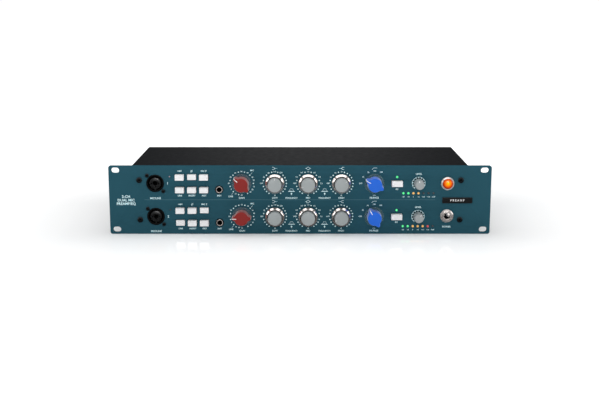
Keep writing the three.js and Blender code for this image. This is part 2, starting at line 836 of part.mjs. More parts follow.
function addPower() {
  place("lamp_bezel", lampBezel(), "chrome", onPanel, POWER_X, 0, LAMP_Z);
  place("lamp_jewel", lampJewel(), "amber_lens", onPanel, POWER_X, 0, LAMP_Z);
  place("toggle_body", toggleBody(), "chrome", onPanel, POWER_X, 0, TOGGLE_Z);
  const lever = place("toggle_lever", toggleLever(), "chrome", onPanel, POWER_X, TOGGLE.pivot, TOGGLE_Z);
  lever.rotation.x = -radians(TOGGLE.tilt);
  place("power_inlet", powerInlet(), "black_plastic", preamp, REAR.inletX, CASE_BACK, REAR.inletZ);
  place("power_board", powerBoard(), "board", preamp);
  place("mains_transformer", mainsTransformer(), "winding", preamp, 128, 22, 0);
}

function addBoards() {
  place("control_board", controlBoard(), "board", onPanel);
  place("main_board", mainBoard(), "board", preamp);
}

addFrame();
CHANNELS.forEach(addChannel);
addPower();
addBoards();

export default preamp;
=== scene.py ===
"""Looks for the two-channel microphone preamp: panel, knobs, legends, sockets and case.

Shapes are made in millimetres with x to the right, y to the back and z up, and are scaled to
metres when they become a piece. On the panel, y = 0 is the panel's face and minus y is towards
the user. An angle on the panel is 0 to the right and 90 straight up, seen from the front.
"""

import math

import bmesh
import bpy
from mathutils import Matrix, Vector


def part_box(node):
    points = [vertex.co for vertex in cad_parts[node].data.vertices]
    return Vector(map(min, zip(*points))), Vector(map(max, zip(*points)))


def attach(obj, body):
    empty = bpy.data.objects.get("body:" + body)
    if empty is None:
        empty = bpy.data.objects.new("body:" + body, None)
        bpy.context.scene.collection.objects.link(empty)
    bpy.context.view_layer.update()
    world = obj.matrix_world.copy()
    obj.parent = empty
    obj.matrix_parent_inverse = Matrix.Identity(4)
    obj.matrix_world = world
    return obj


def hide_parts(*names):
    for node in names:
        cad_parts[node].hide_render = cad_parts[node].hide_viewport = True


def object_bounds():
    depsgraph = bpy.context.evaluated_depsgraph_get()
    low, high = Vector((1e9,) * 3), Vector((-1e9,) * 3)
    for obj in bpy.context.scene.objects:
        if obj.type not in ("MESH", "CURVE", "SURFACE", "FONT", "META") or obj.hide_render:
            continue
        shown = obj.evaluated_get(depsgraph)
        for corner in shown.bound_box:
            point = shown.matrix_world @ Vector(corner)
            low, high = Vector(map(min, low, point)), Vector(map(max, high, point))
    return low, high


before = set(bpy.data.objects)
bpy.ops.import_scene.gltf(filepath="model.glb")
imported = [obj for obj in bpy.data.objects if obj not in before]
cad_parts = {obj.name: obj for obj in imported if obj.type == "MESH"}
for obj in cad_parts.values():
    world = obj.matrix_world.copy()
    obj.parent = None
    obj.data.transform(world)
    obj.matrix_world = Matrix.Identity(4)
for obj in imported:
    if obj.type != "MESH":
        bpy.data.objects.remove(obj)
cad_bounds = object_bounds()

MM = 0.001
CHANNELS = (1, 2)
BANDS = ("low", "mid", "high")

# ---- Places, taken from the frame ----


def box_mm(node):
    low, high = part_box(node)
    return [v / MM for v in low], [v / MM for v in high]


def centre(node):
    low, high = box_mm(node)
    return tuple((a + b) / 2 for a, b in zip(low, high))


def half_size(node):
    """Half the width and half the height of a node."""
    low, high = box_mm(node)
    return (high[0] - low[0]) / 2, (high[2] - low[2]) / 2


PANEL_LOW, PANEL_HIGH = box_mm("front_panel")
CASE_LOW, CASE_HIGH = box_mm("top_cover")
FACE_Y = PANEL_LOW[1]
PANEL_THICK = PANEL_HIGH[1] - PANEL_LOW[1]
REAR_Y = CASE_HIGH[1]
MID_Z = (PANEL_LOW[2] + PANEL_HIGH[2]) / 2
LINE_Z = {n: centre(f"gain_knob_{n}")[2] for n in CHANNELS}  # each channel's knob line

# ---- Driving dimensions ----

BUTTONS = (
    ("phantom_button", "polarity_button", "mic_z_button"),
    ("line_button", "insert_button", "inst_button"),
)
PANEL_SCREWS = [f"panel_screw_{end}_{side}" for end in ("upper", "lower") for side in ("left", "right")]
RACK_SLOT = {"spacing_x": 465.1, "spacing_z": 76.2, "length": 10.0, "width": 6.8}
# Radii of the round openings in the panel.
HOLES = {
    "shaft": 4.2, "sleeve": 4.6, "led": 1.56, "small_led": 1.0, "combo": 11.2, "jack": 5.4, "lamp": 6.6,
    "toggle": 5.8, "screw": 2.3, "combo_screw": 1.9,
}
WINDOW_GAP = 0.45  # between a button and the edge of its window
COMBO_SCREW = 10.0  # from the middle of a combined socket to its screws, across and up
JACK_SPREAD = 11.0  # from the middle of the rear jacks to each of the two
COVER_SCREWS = {"y": (-58, 8, 66), "z": 6.2}
PHANTOM_LED = (-164.3, 8.7)  # x, and the rise over the channel's knob line
EQ_LED_RISE = 8.1
METER_PITCH = 6.35
METER_COUNT = 7
SCALE_STEP = 15  # degrees between the marks round a knob
SCALE_DOT = 0.8
TOGGLE_PIVOT = 0.8  # how far behind the panel's face the lever turns
TOGGLE_TILT = 16  # degrees from straight out, at rest
INK_LIFT = 0.03  # how far the printed legends stand off what they are printed on

# Angle of each control's mark at rest, for channels 1 and 2.
POINTER = {
    "gain": (137, 180),
    "hipass": (152, 119),
    "level": (97, 60),
    "low_ring": (120, 90),
    "mid_ring": (150, 90),
    "high_ring": (150, 90),
    "low_gain": (90, 204),
    "mid_gain": (197, 90),
    "high_gain": (38, 200),
}
METER_STATES = {
    1: ("green", "green", "amber", "amber", "off", "off", "off"),
    2: ("green", "green", "amber", "amber", "amber", "red", "off"),
}

# The stage, in metres. The camera is straight in front and above, and is tilted down a little.
CAMERA = {"distance": 1.2708, "height": 0.3086, "tilt": 78.24, "lens": 61.57}
LIGHTS = (  # name, place, target, width and height, watts
    ("overhead", (0, -0.1, 1.1), (0, -0.1, 0), (1.8, 0.9), 7),
    ("back", (0, 2.4, 0.7), (0, 0, 0.05), (0.7, 0.6), 12),
    ("left", (-1.5, -0.3, 0.55), (0, -0.1, 0.05), (0.5, 0.9), 3.5),
    ("right", (1.5, -0.3, 0.55), (0, -0.1, 0.05), (0.5, 0.9), 3.5),
    ("front", (0, -2.4, 1.1), (0, 0, 0.05), (1.4, 0.6), 15),
)
FLOOR_SIZE = 30
FLOOR_WHITES = [(0.3, (0.86, 0.87, 0.88)), (0.7, (0.88, 0.88, 0.88))]
# The floor glows less near the unit: painted shade round the unit's foot.
FLOOR_GLOW = {"From Min": 0.0, "From Max": 0.37, "To Min": 0.26, "To Max": 0.95}  # by distance
WORLD_STOPS = ((0.0, 0.02), (0.05, 0.1), (0.5, 0.2), (1.0, 0.4))  # height, brightness

# ---- Shapes ----


def filleted(points, closed, steps=4):
    """Rounds the corners of a line of (a, b) or (a, b, radius) points."""
    result = []
    count = len(points)
    for i, point in enumerate(points):
        here = Vector(point[:2])
        radius = point[2] if len(point) > 2 else 0
        at_end = not closed and i in (0, count - 1)
        if radius == 0 or at_end:
            result.append(tuple(here))
            continue
        before = (Vector(points[i - 1][:2]) - here).normalized()
        after = (Vector(points[(i + 1) % count][:2]) - here).normalized()
        half = before.angle(after) / 2
        reach = radius / math.tan(half)
        middle = here + (before + after).normalized() * (radius / math.sin(half))
        start = here + before * reach - middle
        sweep = math.pi - 2 * half
        turn = 1 if before.cross(after) < 0 else -1
        for step in range(steps + 1):
            angle = turn * sweep * step / steps
            c, s = math.cos(angle), math.sin(angle)
            result.append((middle.x + start.x * c - start.y * s, middle.y + start.x * s + start.y * c))
    return result


def turned(profile, segments=56, closed=False):
    """A profile of (radius, y) points turned about the Y axis."""
    bm = bmesh.new()
    rings = []
    for radius, y in filleted(profile, closed):
        if radius < 1e-6:
            rings.append([bm.verts.new((0, y, 0))])
            continue
        rings.append([
            bm.verts.new((radius * math.cos(a), y, radius * math.sin(a)))
            for a in (2 * math.pi * k / segments for k in range(segments))
        ])
    pairs = list(zip(rings, rings[1:]))
    if closed:
        pairs.append((rings[-1], rings[0]))
    for one, two in pairs:
        bridge(bm, one, two, segments)
    bmesh.ops.recalc_face_normals(bm, faces=bm.faces)
    return bm


def bridge(bm, one, two, count):
    """Faces between two rings, either of which may be a single point."""
    if len(one) == 1 and len(two) == 1:
        return
    for k in range(count):
        after = (k + 1) % count
        corners = [one[k % len(one)], one[after % len(one)], two[after % len(two)], two[k % len(two)]]
        bm.faces.new(list(dict.fromkeys(corners)))


def loft(sections):
    """A closed skin through outlines of (x, z) points, each at its own y, with flat ends."""
    bm = bmesh.new()
    rings = [[bm.verts.new((x, y, z)) for x, z in outline] for outline, y in sections]
    for one, two in zip(rings, rings[1:]):
        bridge(bm, one, two, len(one))
    bm.faces.new(rings[0])
    bm.faces.new(rings[-1])
    bmesh.ops.recalc_face_normals(bm, faces=bm.faces)
    return bm


def scaled(outline, factor):
    return [(x * factor, z * factor) for x, z in outline]


def rod(radius, y0, y1, segments=24):
    """A plain cylinder along the Y axis."""
    return turned([(0, y0), (radius, y0), (radius, y1), (0, y1)], segments)


def block(x0, x1, y0, y1, z0, z1, rounding=0.0):
    """A box with rounded edges."""
    bm = bmesh.new()
    bmesh.ops.create_cube(bm, size=1)
    for v in bm.verts:
        share = v.co + Vector((0.5, 0.5, 0.5))
        v.co = (x0 + share.x * (x1 - x0), y0 + share.y * (y1 - y0), z0 + share.z * (z1 - z0))
    if rounding:
        bmesh.ops.bevel(bm, geom=bm.edges[:], offset=rounding, segments=2, profile=0.5, affect="EDGES")
    return bm


def plate(outlines, y0, y1, rounding=0.15):
    """A flat plate from y0 back to y1. The first outline is its edge and the others are holes."""
    curve = bpy.data.curves.new("plate", "CURVE")
    curve.dimensions = "2D"
    curve.fill_mode = "BOTH"
    curve.extrude = (y1 - y0) / 2 - rounding
    curve.bevel_depth = rounding
    curve.bevel_resolution = 1
    curve.offset = -rounding
    for outline in outlines:
        spline = curve.splines.new("POLY")
        spline.points.add(len(outline) - 1)
        for point, (x, z) in zip(spline.points, outline):
            point.co = (x, z, 0, 1)
        spline.use_cyclic_u = True
    return moved(shape_of(curve), y=(y0 + y1) / 2)


def shape_of(curve):
    """The mesh of a flat curve or text, stood up to face the user."""
    holder = bpy.data.objects.new("holder", curve)
    mesh = holder.to_mesh()
    bm = bmesh.new()
    bm.from_mesh(mesh)
    holder.to_mesh_clear()
    bpy.data.objects.remove(holder)
    bpy.data.curves.remove(curve)
    bmesh.ops.remove_doubles(bm, verts=bm.verts, dist=1e-5)
    bm.transform(Matrix.Rotation(math.pi / 2, 4, "X"))
    return bm


def circle(x, z, radius, sides=40):
    angles = (2 * math.pi * k / sides for k in range(sides))
    return [(x + radius * math.cos(a), z + radius * math.sin(a)) for a in angles]


def rounded_rectangle(x0, x1, z0, z1, radius, steps=6):
    corners = [(x0, z0, radius), (x1, z0, radius), (x1, z1, radius), (x0, z1, radius)]
    return filleted(corners, closed=True, steps=steps)


def moved(bm, x=0.0, y=0.0, z=0.0):
    bmesh.ops.translate(bm, verts=bm.verts, vec=(x, y, z))
    return bm


def spun(bm, angle, axis):
    bm.transform(Matrix.Rotation(math.radians(angle), 4, axis))
    return bm


def pointed(bm, angle):
    """Turns a shape whose mark is to the right, so that the mark stands at the angle."""
    return spun(bm, -angle, "Y")


def turned_round(bm):
    """Turns a shape that faces the front, so that it faces the back."""
    return spun(bm, 180, "Z")


def polar(radius, angle):
    return radius * math.cos(math.radians(angle)), radius * math.sin(math.radians(angle))


# ---- Pieces ----


def piece(name, body, parts, at=(0, 0, 0), replaces=(), sharp=35):
    """Joins (shape, material) pairs into one object that rides on a body."""
    mesh = bpy.data.meshes.new(name)
    joined = bmesh.new()
    materials = []
    for shape, material in parts:
        if material not in materials:
            materials.append(material)
        for face in shape.faces:
            face.material_index = materials.index(material)
        part = bpy.data.meshes.new("part")
        shape.to_mesh(part)
        shape.free()
        joined.from_mesh(part)
        bpy.data.meshes.remove(part)
    joined.transform(Matrix.Scale(MM, 4) @ Matrix.Translation(at))
    joined.to_mesh(mesh)
    joined.free()
    for material in materials:
        mesh.materials.append(material)
    mesh.shade_smooth()
    mesh.set_sharp_from_angle(angle=math.radians(sharp))
    obj = bpy.data.objects.new(name, mesh)
    bpy.context.scene.collection.objects.link(obj)
    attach(obj, body)
    if replaces:
        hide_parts(*replaces)
    return obj


def each(parts, change, *values):
    """Makes one change to all the shapes of a list of (shape, material) pairs."""
    for shape, _ in parts:
        change(shape, *values)
    return parts


def panel_piece(name, node, parts, body="case", sharp=35):
    """A piece made round the middle of a node, with y = 0 at the panel's face."""
    x, _, z = centre(node)
    return piece(name, body, parts, (x, FACE_Y, z), [node], sharp)


def rear_piece(name, node, parts):
    """A piece made facing the front with y = 0 at the rear wall, and then turned round."""
    x, _, z = centre(node)
    piece(name, "case", each(parts, turned_round), (x, REAR_Y, z), [node])


# ---- Materials ----


class Nodes:
    """A material's node tree, with short ways to add and join its nodes."""

    def __init__(self, name):
        self.material = bpy.data.materials.new(name)
        self.material.use_nodes = True
        self.tree = self.material.node_tree
        self.coordinates = self.tree.nodes.new("ShaderNodeTexCoord").outputs

    def fill(self, node, inputs):
        """Gives each input its value, or joins it to its output of another node."""
        for socket, value in inputs.items():
            if isinstance(value, bpy.types.NodeSocket):
                self.tree.links.new(value, node.inputs[socket])
            else:
                node.inputs[socket].default_value = value

    def add(self, kind, inputs, **settings):
        node = self.tree.nodes.new("ShaderNode" + kind)
        for key, value in settings.items():
            setattr(node, key, value)
        self.fill(node, inputs)
        return node

    def shade(self, **inputs):
        """Fills the shader's inputs. The spaces in their names are written as underscores."""
        shader = self.tree.nodes["Principled BSDF"]
        self.fill(shader, {socket.replace("_", " "): value for socket, value in inputs.items()})

    def noise(self, scale, detail=3.0):
        """Noise over the object. The scale is in features per metre."""
        inputs = {"Scale": scale, "Detail": detail, "Vector": self.coordinates["Object"]}
        return self.add("TexNoise", inputs).outputs["Fac"]

    def map_range(self, value, limits):
        return self.add("MapRange", {"Value": value, **limits}).outputs["Result"]

    def between(self, factor, low, high):
        """A noise's middle values spread from low to high."""
        return self.map_range(factor, {"From Min": 0.3, "From Max": 0.7, "To Min": low, "To Max": high})

    def ramp(self, factor, stops):
        node = self.add("ValToRGB", {"Fac": factor})
        set_stops(node.color_ramp, stops)
        return node.outputs["Color"]

    def bump(self, height, distance, strength=1.0):
        inputs = {"Height": height, "Distance": distance, "Strength": strength}
        return self.add("Bump", inputs).outputs["Normal"]

    def vector(self, operation, *inputs):
        """One step of arithmetic with vectors."""
        node = self.add("VectorMath", dict(enumerate(inputs)), operation=operation)
        return node.outputs["Value" if operation == "LENGTH" else "Vector"]

    def number(self, operation, *inputs):
        """One step of arithmetic with numbers."""
        return self.add("Math", dict(enumerate(inputs)), operation=operation).outputs["Value"]


def set_stops(ramp, stops):
    """Gives a colour ramp its (position, colour) stops."""
    while len(ramp.elements) < len(stops):
        ramp.elements.new(1.0)
    for element, (position, colour) in zip(ramp.elements, stops):
        element.position = position
        element.color = (*colour, 1)


def linear(colour):
    """Linear light from the 0 to 255 values that a screen would show."""
    return tuple(
        v / 255 / 12.92 if v / 255 <= 0.04045 else ((v / 255 + 0.055) / 1.055) ** 2.4 for v in colour
    )


def surface(name, colour, roughness, grain, depth, mottle, spread=0.06, **sockets):
    """A finish with uneven colour and gloss over a fine grain. The grain is in features per
    metre, and the depth is its height in metres. The mottle is the share by which the colour
    varies, and the spread is how far the roughness does."""
    nodes = Nodes(name)
    base = linear(colour)
    darker = tuple(v * (1 - mottle) for v in base)
    lighter = tuple(min(1, v * (1 + mottle)) for v in base)
    nodes.shade(
        Base_Color=nodes.ramp(nodes.noise(28, detail=4), [(0.35, darker), (0.65, lighter)]),
        Roughness=nodes.between(nodes.noise(140, detail=5), roughness - spread, roughness + spread),
        Normal=nodes.bump(nodes.noise(grain, detail=2), depth),
        **sockets,
    )
    return nodes.material


def radial_glow(name, stops, strength):
    """A lit lens, brightest just over its middle and deeper in colour towards its rim."""
    nodes = Nodes(name)
    off_centre = nodes.vector("ADD", nodes.coordinates["Generated"], (-0.5, 0, -0.57))
    colour = nodes.ramp(nodes.vector("LENGTH", nodes.vector("MULTIPLY", off_centre, (2, 0, 2))), stops)
    nodes.shade(
        Base_Color=colour, Emission_Color=colour, Emission_Strength=strength, Roughness=0.12,
        Coat_Weight=0.3,
    )
    return nodes.material


def led_lens(name, colour, strength):
    nodes = Nodes(name)
    base = linear(colour)
    tint = nodes.ramp(nodes.noise(900, detail=2), [(0.3, tuple(v * 0.85 for v in base)), (0.7, base)])
    nodes.shade(
        Base_Color=tint, Emission_Color=tint, Emission_Strength=strength, Roughness=0.25, Coat_Weight=0.5,
        Normal=nodes.bump(nodes.noise(2500), 2e-5),
    )
    return nodes.material


def clear_plastic(name, colour, alpha):
    """A thin clear moulding, which shows what lies behind it."""
    nodes = Nodes(name)
    base = linear(colour)
    tint = nodes.ramp(nodes.noise(60), [(0.35, tuple(v * 0.92 for v in base)), (0.65, base)])
    roughness = nodes.between(nodes.noise(220), 0.12, 0.22)
    nodes.shade(Base_Color=tint, Roughness=roughness, Alpha=alpha, IOR=1.49)
    return nodes.material


def circuit_board(name):
    """Green solder mask, with lighter tracks that run under it."""
    nodes = Nodes(name)
    inputs = {"Scale": 240, "Vector": nodes.coordinates["Object"]}
    cells = nodes.add("TexVoronoi", inputs, distance="MANHATTAN", feature="DISTANCE_TO_EDGE")
    distance = cells.outputs["Distance"]
    nodes.shade(
        Base_Color=nodes.ramp(distance, [(0.02, linear((58, 120, 78))), (0.06, linear((24, 78, 48)))]),
        Normal=nodes.bump(distance, 4e-5, 0.4),
        Roughness=nodes.between(nodes.noise(90), 0.3, 0.5),
    )
    return nodes.material


def copper_winding(name, turns=150):
    """Enamelled wire that is wound over a ring."""
    nodes = Nodes(name)
    x, y, _ = centre("mains_transformer")
    from_axis = nodes.vector("ADD", nodes.coordinates["Object"], (-x * MM, -y * MM, 0))
    spokes = nodes.add("TexGradient", {"Vector": from_axis}, gradient_type="RADIAL")
    wire = nodes.number("PINGPONG", nodes.number("MULTIPLY", spokes.outputs["Fac"], turns), 0.5)
    nodes.shade(
        Base_Color=nodes.ramp(wire, [(0.0, linear((92, 48, 18))), (0.5, linear((196, 122, 58)))]),
        Normal=nodes.bump(wire, 4e-4),
        Roughness=nodes.between(nodes.noise(200), 0.25, 0.4),
        Metallic=0.55,
    )
    return nodes.material


# The sheen lights up the moulded flanks that are seen at a low angle. The ink's glow is painted light that
# keeps it white.
SHEEN = {"Specular_IOR_Level": 0.4, "Sheen_Weight": 0.7, "Sheen_Roughness": 0.35}
INK_PAINTED_GLOW = {"Emission_Strength": 0.09, "Emission_Color": (0.62, 0.92, 1.0, 1.0)}
PANEL_PAINT = surface("panel_paint", (43, 83, 96), 0.45, 2600, 1.2e-5, 0.02, Specular_IOR_Level=0.0)
CASE_PAINT = surface("case_paint", (29, 30, 32), 0.62, 3200, 3e-5, 0.015, Specular_IOR_Level=0.002)
INK = surface("legend_ink", (218, 246, 250), 0.6, 4000, 8e-6, 0.04, **INK_PAINTED_GLOW)
DIM_INK = surface("divider_ink", (76, 120, 132), 0.6, 4000, 8e-6, 0.06)
WHITE = surface("white_plastic", (246, 245, 246), 0.34, 3000, 8e-6, 0.012)
RED = surface("red_plastic", (145, 26, 20), 0.5, 2400, 1.2e-5, 0.05, **SHEEN)
BLUE = surface("blue_plastic", (8, 102, 222), 0.5, 2400, 1.2e-5, 0.04, **SHEEN)
GREY = surface("grey_plastic", (162, 168, 169), 0.42, 2800, 1.6e-5, 0.03)
MARK = surface("mark_paint", (250, 250, 250), 0.45, 3000, 8e-6, 0.02)
BLACK = surface("black_plastic", (24, 25, 26), 0.36, 2600, 1.6e-5, 0.12)
# Near-black for socket mouldings, and also laid into gaps, recesses and bores as painted shade.
DEEP_BLACK = surface("socket_black", (5, 5, 6), 0.6, 2600, 2e-5, 0.15, Specular_IOR_Level=0.2)
GLOSS_BLACK = surface("gloss_black", (34, 35, 36), 0.3, 2600, 8e-6, 0.1, Specular_IOR_Level=0.8)
BLACK_STEEL = surface("black_steel", (32, 35, 38), 0.34, 3600, 1.5e-5, 0.12, Metallic=0.6)
SATIN = surface("satin_nickel", (240, 231, 227), 0.28, 1400, 1e-5, 0.03, Metallic=0.7)
POLISHED = surface("polished_nickel", (246, 236, 231), 0.2, 1200, 6e-6, 0.02, Metallic=0.5)
CHROME = surface("chrome", (232, 224, 220), 0.1, 900, 4e-6, 0.02, spread=0.04, Metallic=0.86)
NICKEL = surface("nickel", (176, 174, 170), 0.24, 1600, 1e-5, 0.05, Metallic=1.0)
GOLD = surface("gold_plate", (214, 168, 88), 0.22, 1600, 1e-5, 0.06, Metallic=1.0)
SMOKE_GREY = clear_plastic("clear_disc", (150, 158, 166), 0.16)
SMOKE_DARK = clear_plastic("smoked_disc", (120, 146, 148), 0.24)
BOARD = circuit_board("circuit_board")
WINDING = copper_winding("copper_winding")
JEWEL = radial_glow(
    "jewel_amber",
    [
        (0.0, linear((246, 186, 8))), (0.3, linear((234, 138, 8))),
        (0.65, linear((206, 78, 6))), (1.0, linear((124, 26, 3))),
    ],
    0.5,
)
LENSES = {
    "green": led_lens("led_green", (84, 222, 136), 0.75),
    "amber": led_lens("led_amber", (228, 176, 104), 0.6),
    "red": led_lens("led_red", (200, 84, 84), 0.45),
    "faint": led_lens("led_faint", (150, 132, 142), 0.1),
    # An off lens still glows a little: painted light for the light that it catches.
    "off": led_lens("led_off", (72, 82, 88), 0.03),
}

# ---- Front panel ----


def slot_outline(x, z, length, width, steps=12):
    half = (length - width) / 2
    points = []
    for centre_x, start in ((x + half, -90), (x - half, 90)):
        for step in range(steps + 1):
            dx, dz = polar(width / 2, start + 180 * step / steps)
            points.append((centre_x + dx, z + dz))
    return points


def window(node):
    low, high = box_mm(node)
    g = WINDOW_GAP
    return rounded_rectangle(low[0] - g, high[0] + g, low[2] - g, high[2] + g, 0.5, steps=3)


def panel_openings():
    holes = []
    for side in (-1, 1):
        for end in (-1, 1):
            x = side * RACK_SLOT["spacing_x"] / 2
            z = MID_Z + end * RACK_SLOT["spacing_z"] / 2
            holes.append(slot_outline(x, z, RACK_SLOT["length"], RACK_SLOT["width"]))
    for name in PANEL_SCREWS:
        x, _, z = centre(name)
        holes.append(circle(x, z, HOLES["screw"]))
    for n in CHANNELS:
        holes += channel_openings(n)
    for node, size in (("lamp_bezel", "lamp"), ("toggle_body", "toggle")):
        x, _, z = centre(node)
        holes.append(circle(x, z, HOLES[size], 56))
    return holes


def channel_openings(n):
    line = LINE_Z[n]
    combo_x = centre(f"combo_jack_{n}")[0]
    holes = [circle(combo_x, line, HOLES["combo"], 72)]
    for side in (-1, 1):
        holes.append(circle(combo_x + side * COMBO_SCREW, line - side * COMBO_SCREW, HOLES["combo_screw"]))
    phantom, equaliser = single_led_places(n)
    holes.append(circle(*phantom, HOLES["small_led"], 20))
    for x, z in [equaliser, *meter_places(n)]:
        holes.append(circle(x, z, HOLES["led"], 28))
    for row in BUTTONS:
        holes += [window(f"{base}_{n}") for base in row]
    holes.append(window(f"eq_button_{n}"))
    rounds = [("inst_jack", "jack")]
    rounds += [(f"{base}_knob", "shaft") for base in ("gain", "hipass", "level")]
    rounds += [(f"{band}_frequency_ring", "sleeve") for band in BANDS]
    for base, size in rounds:
        x, _, z = centre(f"{base}_{n}")
        holes.append(circle(x, z, HOLES[size]))
    return holes


def single_led_places(n):
    button_x, _, button_z = centre(f"eq_button_{n}")
    return [(PHANTOM_LED[0], LINE_Z[n] + PHANTOM_LED[1]), (button_x, button_z + EQ_LED_RISE)]


def meter_places(n):
    x, _, z = centre(f"meter_led_strip_{n}")
    return [(x + (i - (METER_COUNT - 1) / 2) * METER_PITCH, z) for i in range(METER_COUNT)]


def build_panel():
    edge = rounded_rectangle(PANEL_LOW[0], PANEL_HIGH[0], PANEL_LOW[2], PANEL_HIGH[2], 3.0)
    shape = plate([edge, *panel_openings()], 0, PANEL_THICK, rounding=0.3)
    piece("panel_sheet", "case", [(shape, PANEL_PAINT)], (0, FACE_Y, 0), ["front_panel"])


# ---- Printed legends ----


def print_text(text, x, z, size, spacing=1.0):
    """Letters with the middle of the line at (x, z)."""
    curve = bpy.data.curves.new("text", "FONT")
    curve.body = text
    curve.size = size
    curve.resolution_u = 2
    curve.space_character = spacing
    curve.offset = 0.02 * size
    curve.align_x = "CENTER"
    curve.align_y = "CENTER"
    return moved(shape_of(curve), x, -INK_LIFT, z)


def print_line(points, width):
    """A stroke of even width through (x, z) points."""
    bm = bmesh.new()
    sides = []
    for i, (x, z) in enumerate(points):
        before = Vector(points[max(i - 1, 0)])
        after = Vector(points[min(i + 1, len(points) - 1)])
        along = (after - before).normalized() * width / 2
        sides.append((
            bm.verts.new((x - along.y, -INK_LIFT, z + along.x)),
            bm.verts.new((x + along.y, -INK_LIFT, z - along.x)),
        ))
    for (a, b), (c, d) in zip(sides, sides[1:]):
        bm.faces.new((a, b, d, c))
    return bm


def print_polygon(points):
    bm = bmesh.new()
    bm.faces.new([bm.verts.new((x, -INK_LIFT, z)) for x, z in points])
    return bm


def ring_marks(x, z, radius, angles, labels, size, reach):
    """A scale round a knob: a dot at each angle, or the label that the angle has. A label is
    moved out by the reach, and by more at the sides, where its width points at the knob."""
    marks = []
    for angle in angles:
        if angle in labels:
            width = 0.35 * size * (len(labels[angle]) - 1)
            dx, dz = polar(radius + reach + width * abs(math.cos(math.radians(angle))), angle)
            marks.append(print_text(labels[angle], x + dx, z + dz, size))
        else:
            dx, dz = polar(radius, angle)
            marks.append(print_polygon(circle(x + dx, z + dz, SCALE_DOT, 16)))
    return marks


def strokes(x, z, width, *lines):
    """Strokes of one width, through points that are given from (x, z)."""
    return [print_line([(x + a, z + b) for a, b in line], width) for line in lines]


def words(x, z, *texts):
    """Each text is given as its letters, how far right and up of (x, z) it is, and its size."""
    return [print_text(text, x + right, z + up, size) for text, right, up, size in texts]


def band_glyph(x, z, band):
    """Boost and cut: curves that part from one line for a shelf, and meet again for a bell."""
    shelf = [(-3.2, 0), (-1, 0), (0.2, 0.45), (1, 1.2), (2, 1.5), (3.2, 1.5)]
    bell = [(-3.4, 0), (-2.1, 0.2), (-1.1, 1.2), (0, 1.7), (1.1, 1.2), (2.1, 0.2), (3.4, 0)]
    curve = bell if band == "mid" else shelf
    flip = -1 if band == "low" else 1
    return strokes(x, z, 0.42, *([(flip * a, side * b) for a, b in curve] for side in (-1, 1)))


def knob_glyph(x, z):
    """A small side view of a pair of knobs, over an arrow."""
    crown = [(-1.9, 0), (-1.7, 1.7), (1.7, 1.7), (1.9, 0)]
    skirt = [(-2.3, -0.2), (-3.6, -1.3), (3.6, -1.3), (2.3, -0.2)]
    arrow = [(0, -3.1), (-1.3, -4.8), (-0.4, -4.8), (-0.4, -6.3), (0.4, -6.3), (0.4, -4.8), (1.3, -4.8)]
    knobs = strokes(x, z, 0.35, crown, skirt) + strokes(x, z, 0.5, [(-4.2, -1.8), (4.2, -1.8)])
    return [*knobs, print_polygon([(x + a, z + b) for a, b in arrow])]


def polarity_glyph(x, z):
    """A ring with a slanted line through it."""
    return strokes(x, z, 0.4, [polar(1.05, 15 * k) for k in range(25)], [(-1.2, -1.5), (1.2, 1.5)])


TITLE = ("2-CH", "DUAL MIC", "PREAMP/EQ")
BUTTON_LABELS = (("+48V", None, "MIC Z"), ("LINE", "INSERT", "INST"))  # None has the polarity sign
METER_LABELS = ("-20", "-10", "0", "+4", "+10", "+18", "CLIP")

# The labels on the scales, by their angle.
GAIN_LABELS = {
    -45: "40", -30: "50", -15: "10", 15: "20", 30: "30", 60: "40", 90: "50", 120: "60",
    150: "70", 180: "80", 210: "0", 240: "10", 270: "20",
}
BAND_LABELS = {
    "low": {180: "OFF", 150: "35", 120: "60", 90: "110", 60: "220"},
    "mid": {180: "OFF", 150: "0.3", 120: "0.7", 90: "1.6", 60: "3.2", 30: "4.8", 0: "7.2"},
    "high": {180: "OFF", 150: "10", 120: "12", 90: "16"},
}
HIPASS_LABELS = {60: "360", 90: "160", 120: "70", 150: "45", 180: "OFF"}


def gain_legend(n):
    x, _, z = centre(f"gain_knob_{n}")
    angles = [SCALE_STEP * k for k in range(-4, 19)]
    marks = ring_marks(x, z, 14.9, angles, GAIN_LABELS, 2.3, 0.2)
    marks += words(x, z, ("MIC", 13.4, 16.6, 2.8), ("LINE", -13.8, -16.8, 2.8), ("GAIN", 0, -18.7, 3.1))
    return marks + strokes(x, z, 0.35, [(11.9, 11.8), (13.6, 14.3)], [(-10.8, -12.2), (-12.9, -14.2)])


def band_legend(band, n):
    x, _, z = centre(f"{band}_frequency_ring_{n}")
    angles = [SCALE_STEP * k for k in range(-4, 17)]
    marks = ring_marks(x, z, 14.7, angles, BAND_LABELS[band], 2.4, 0.3)
    marks += band_glyph(x, z + 19.2, band)
    marks += words(x, z, ("dB", 0, -15.4, 1.9), (band.upper(), 0, -18.7, 3.1))
    if band != "high":
        marks += knob_glyph(x + 21, z - 8.6) + words(x, z, ("FREQUENCY", 21, -18.8, 2.7))
    return marks


def hipass_legend(n):
    x, _, z = centre(f"hipass_knob_{n}")
    marks = ring_marks(x, z, 15.2, HIPASS_LABELS, HIPASS_LABELS, 2.4, 0.6)
    marks += strokes(x, z, 0.42, [(-3.2, 17.8), (-1.8, 19.2), (-0.6, 19.8), (3.2, 19.8)])
    marks += strokes(x, z, 0.4, [(-1.8, -15.5), (0, -15.0), (1.8, -15.5)])
    return marks + words(x, z, ("HI-PASS", 0, -18.6, 3.4))


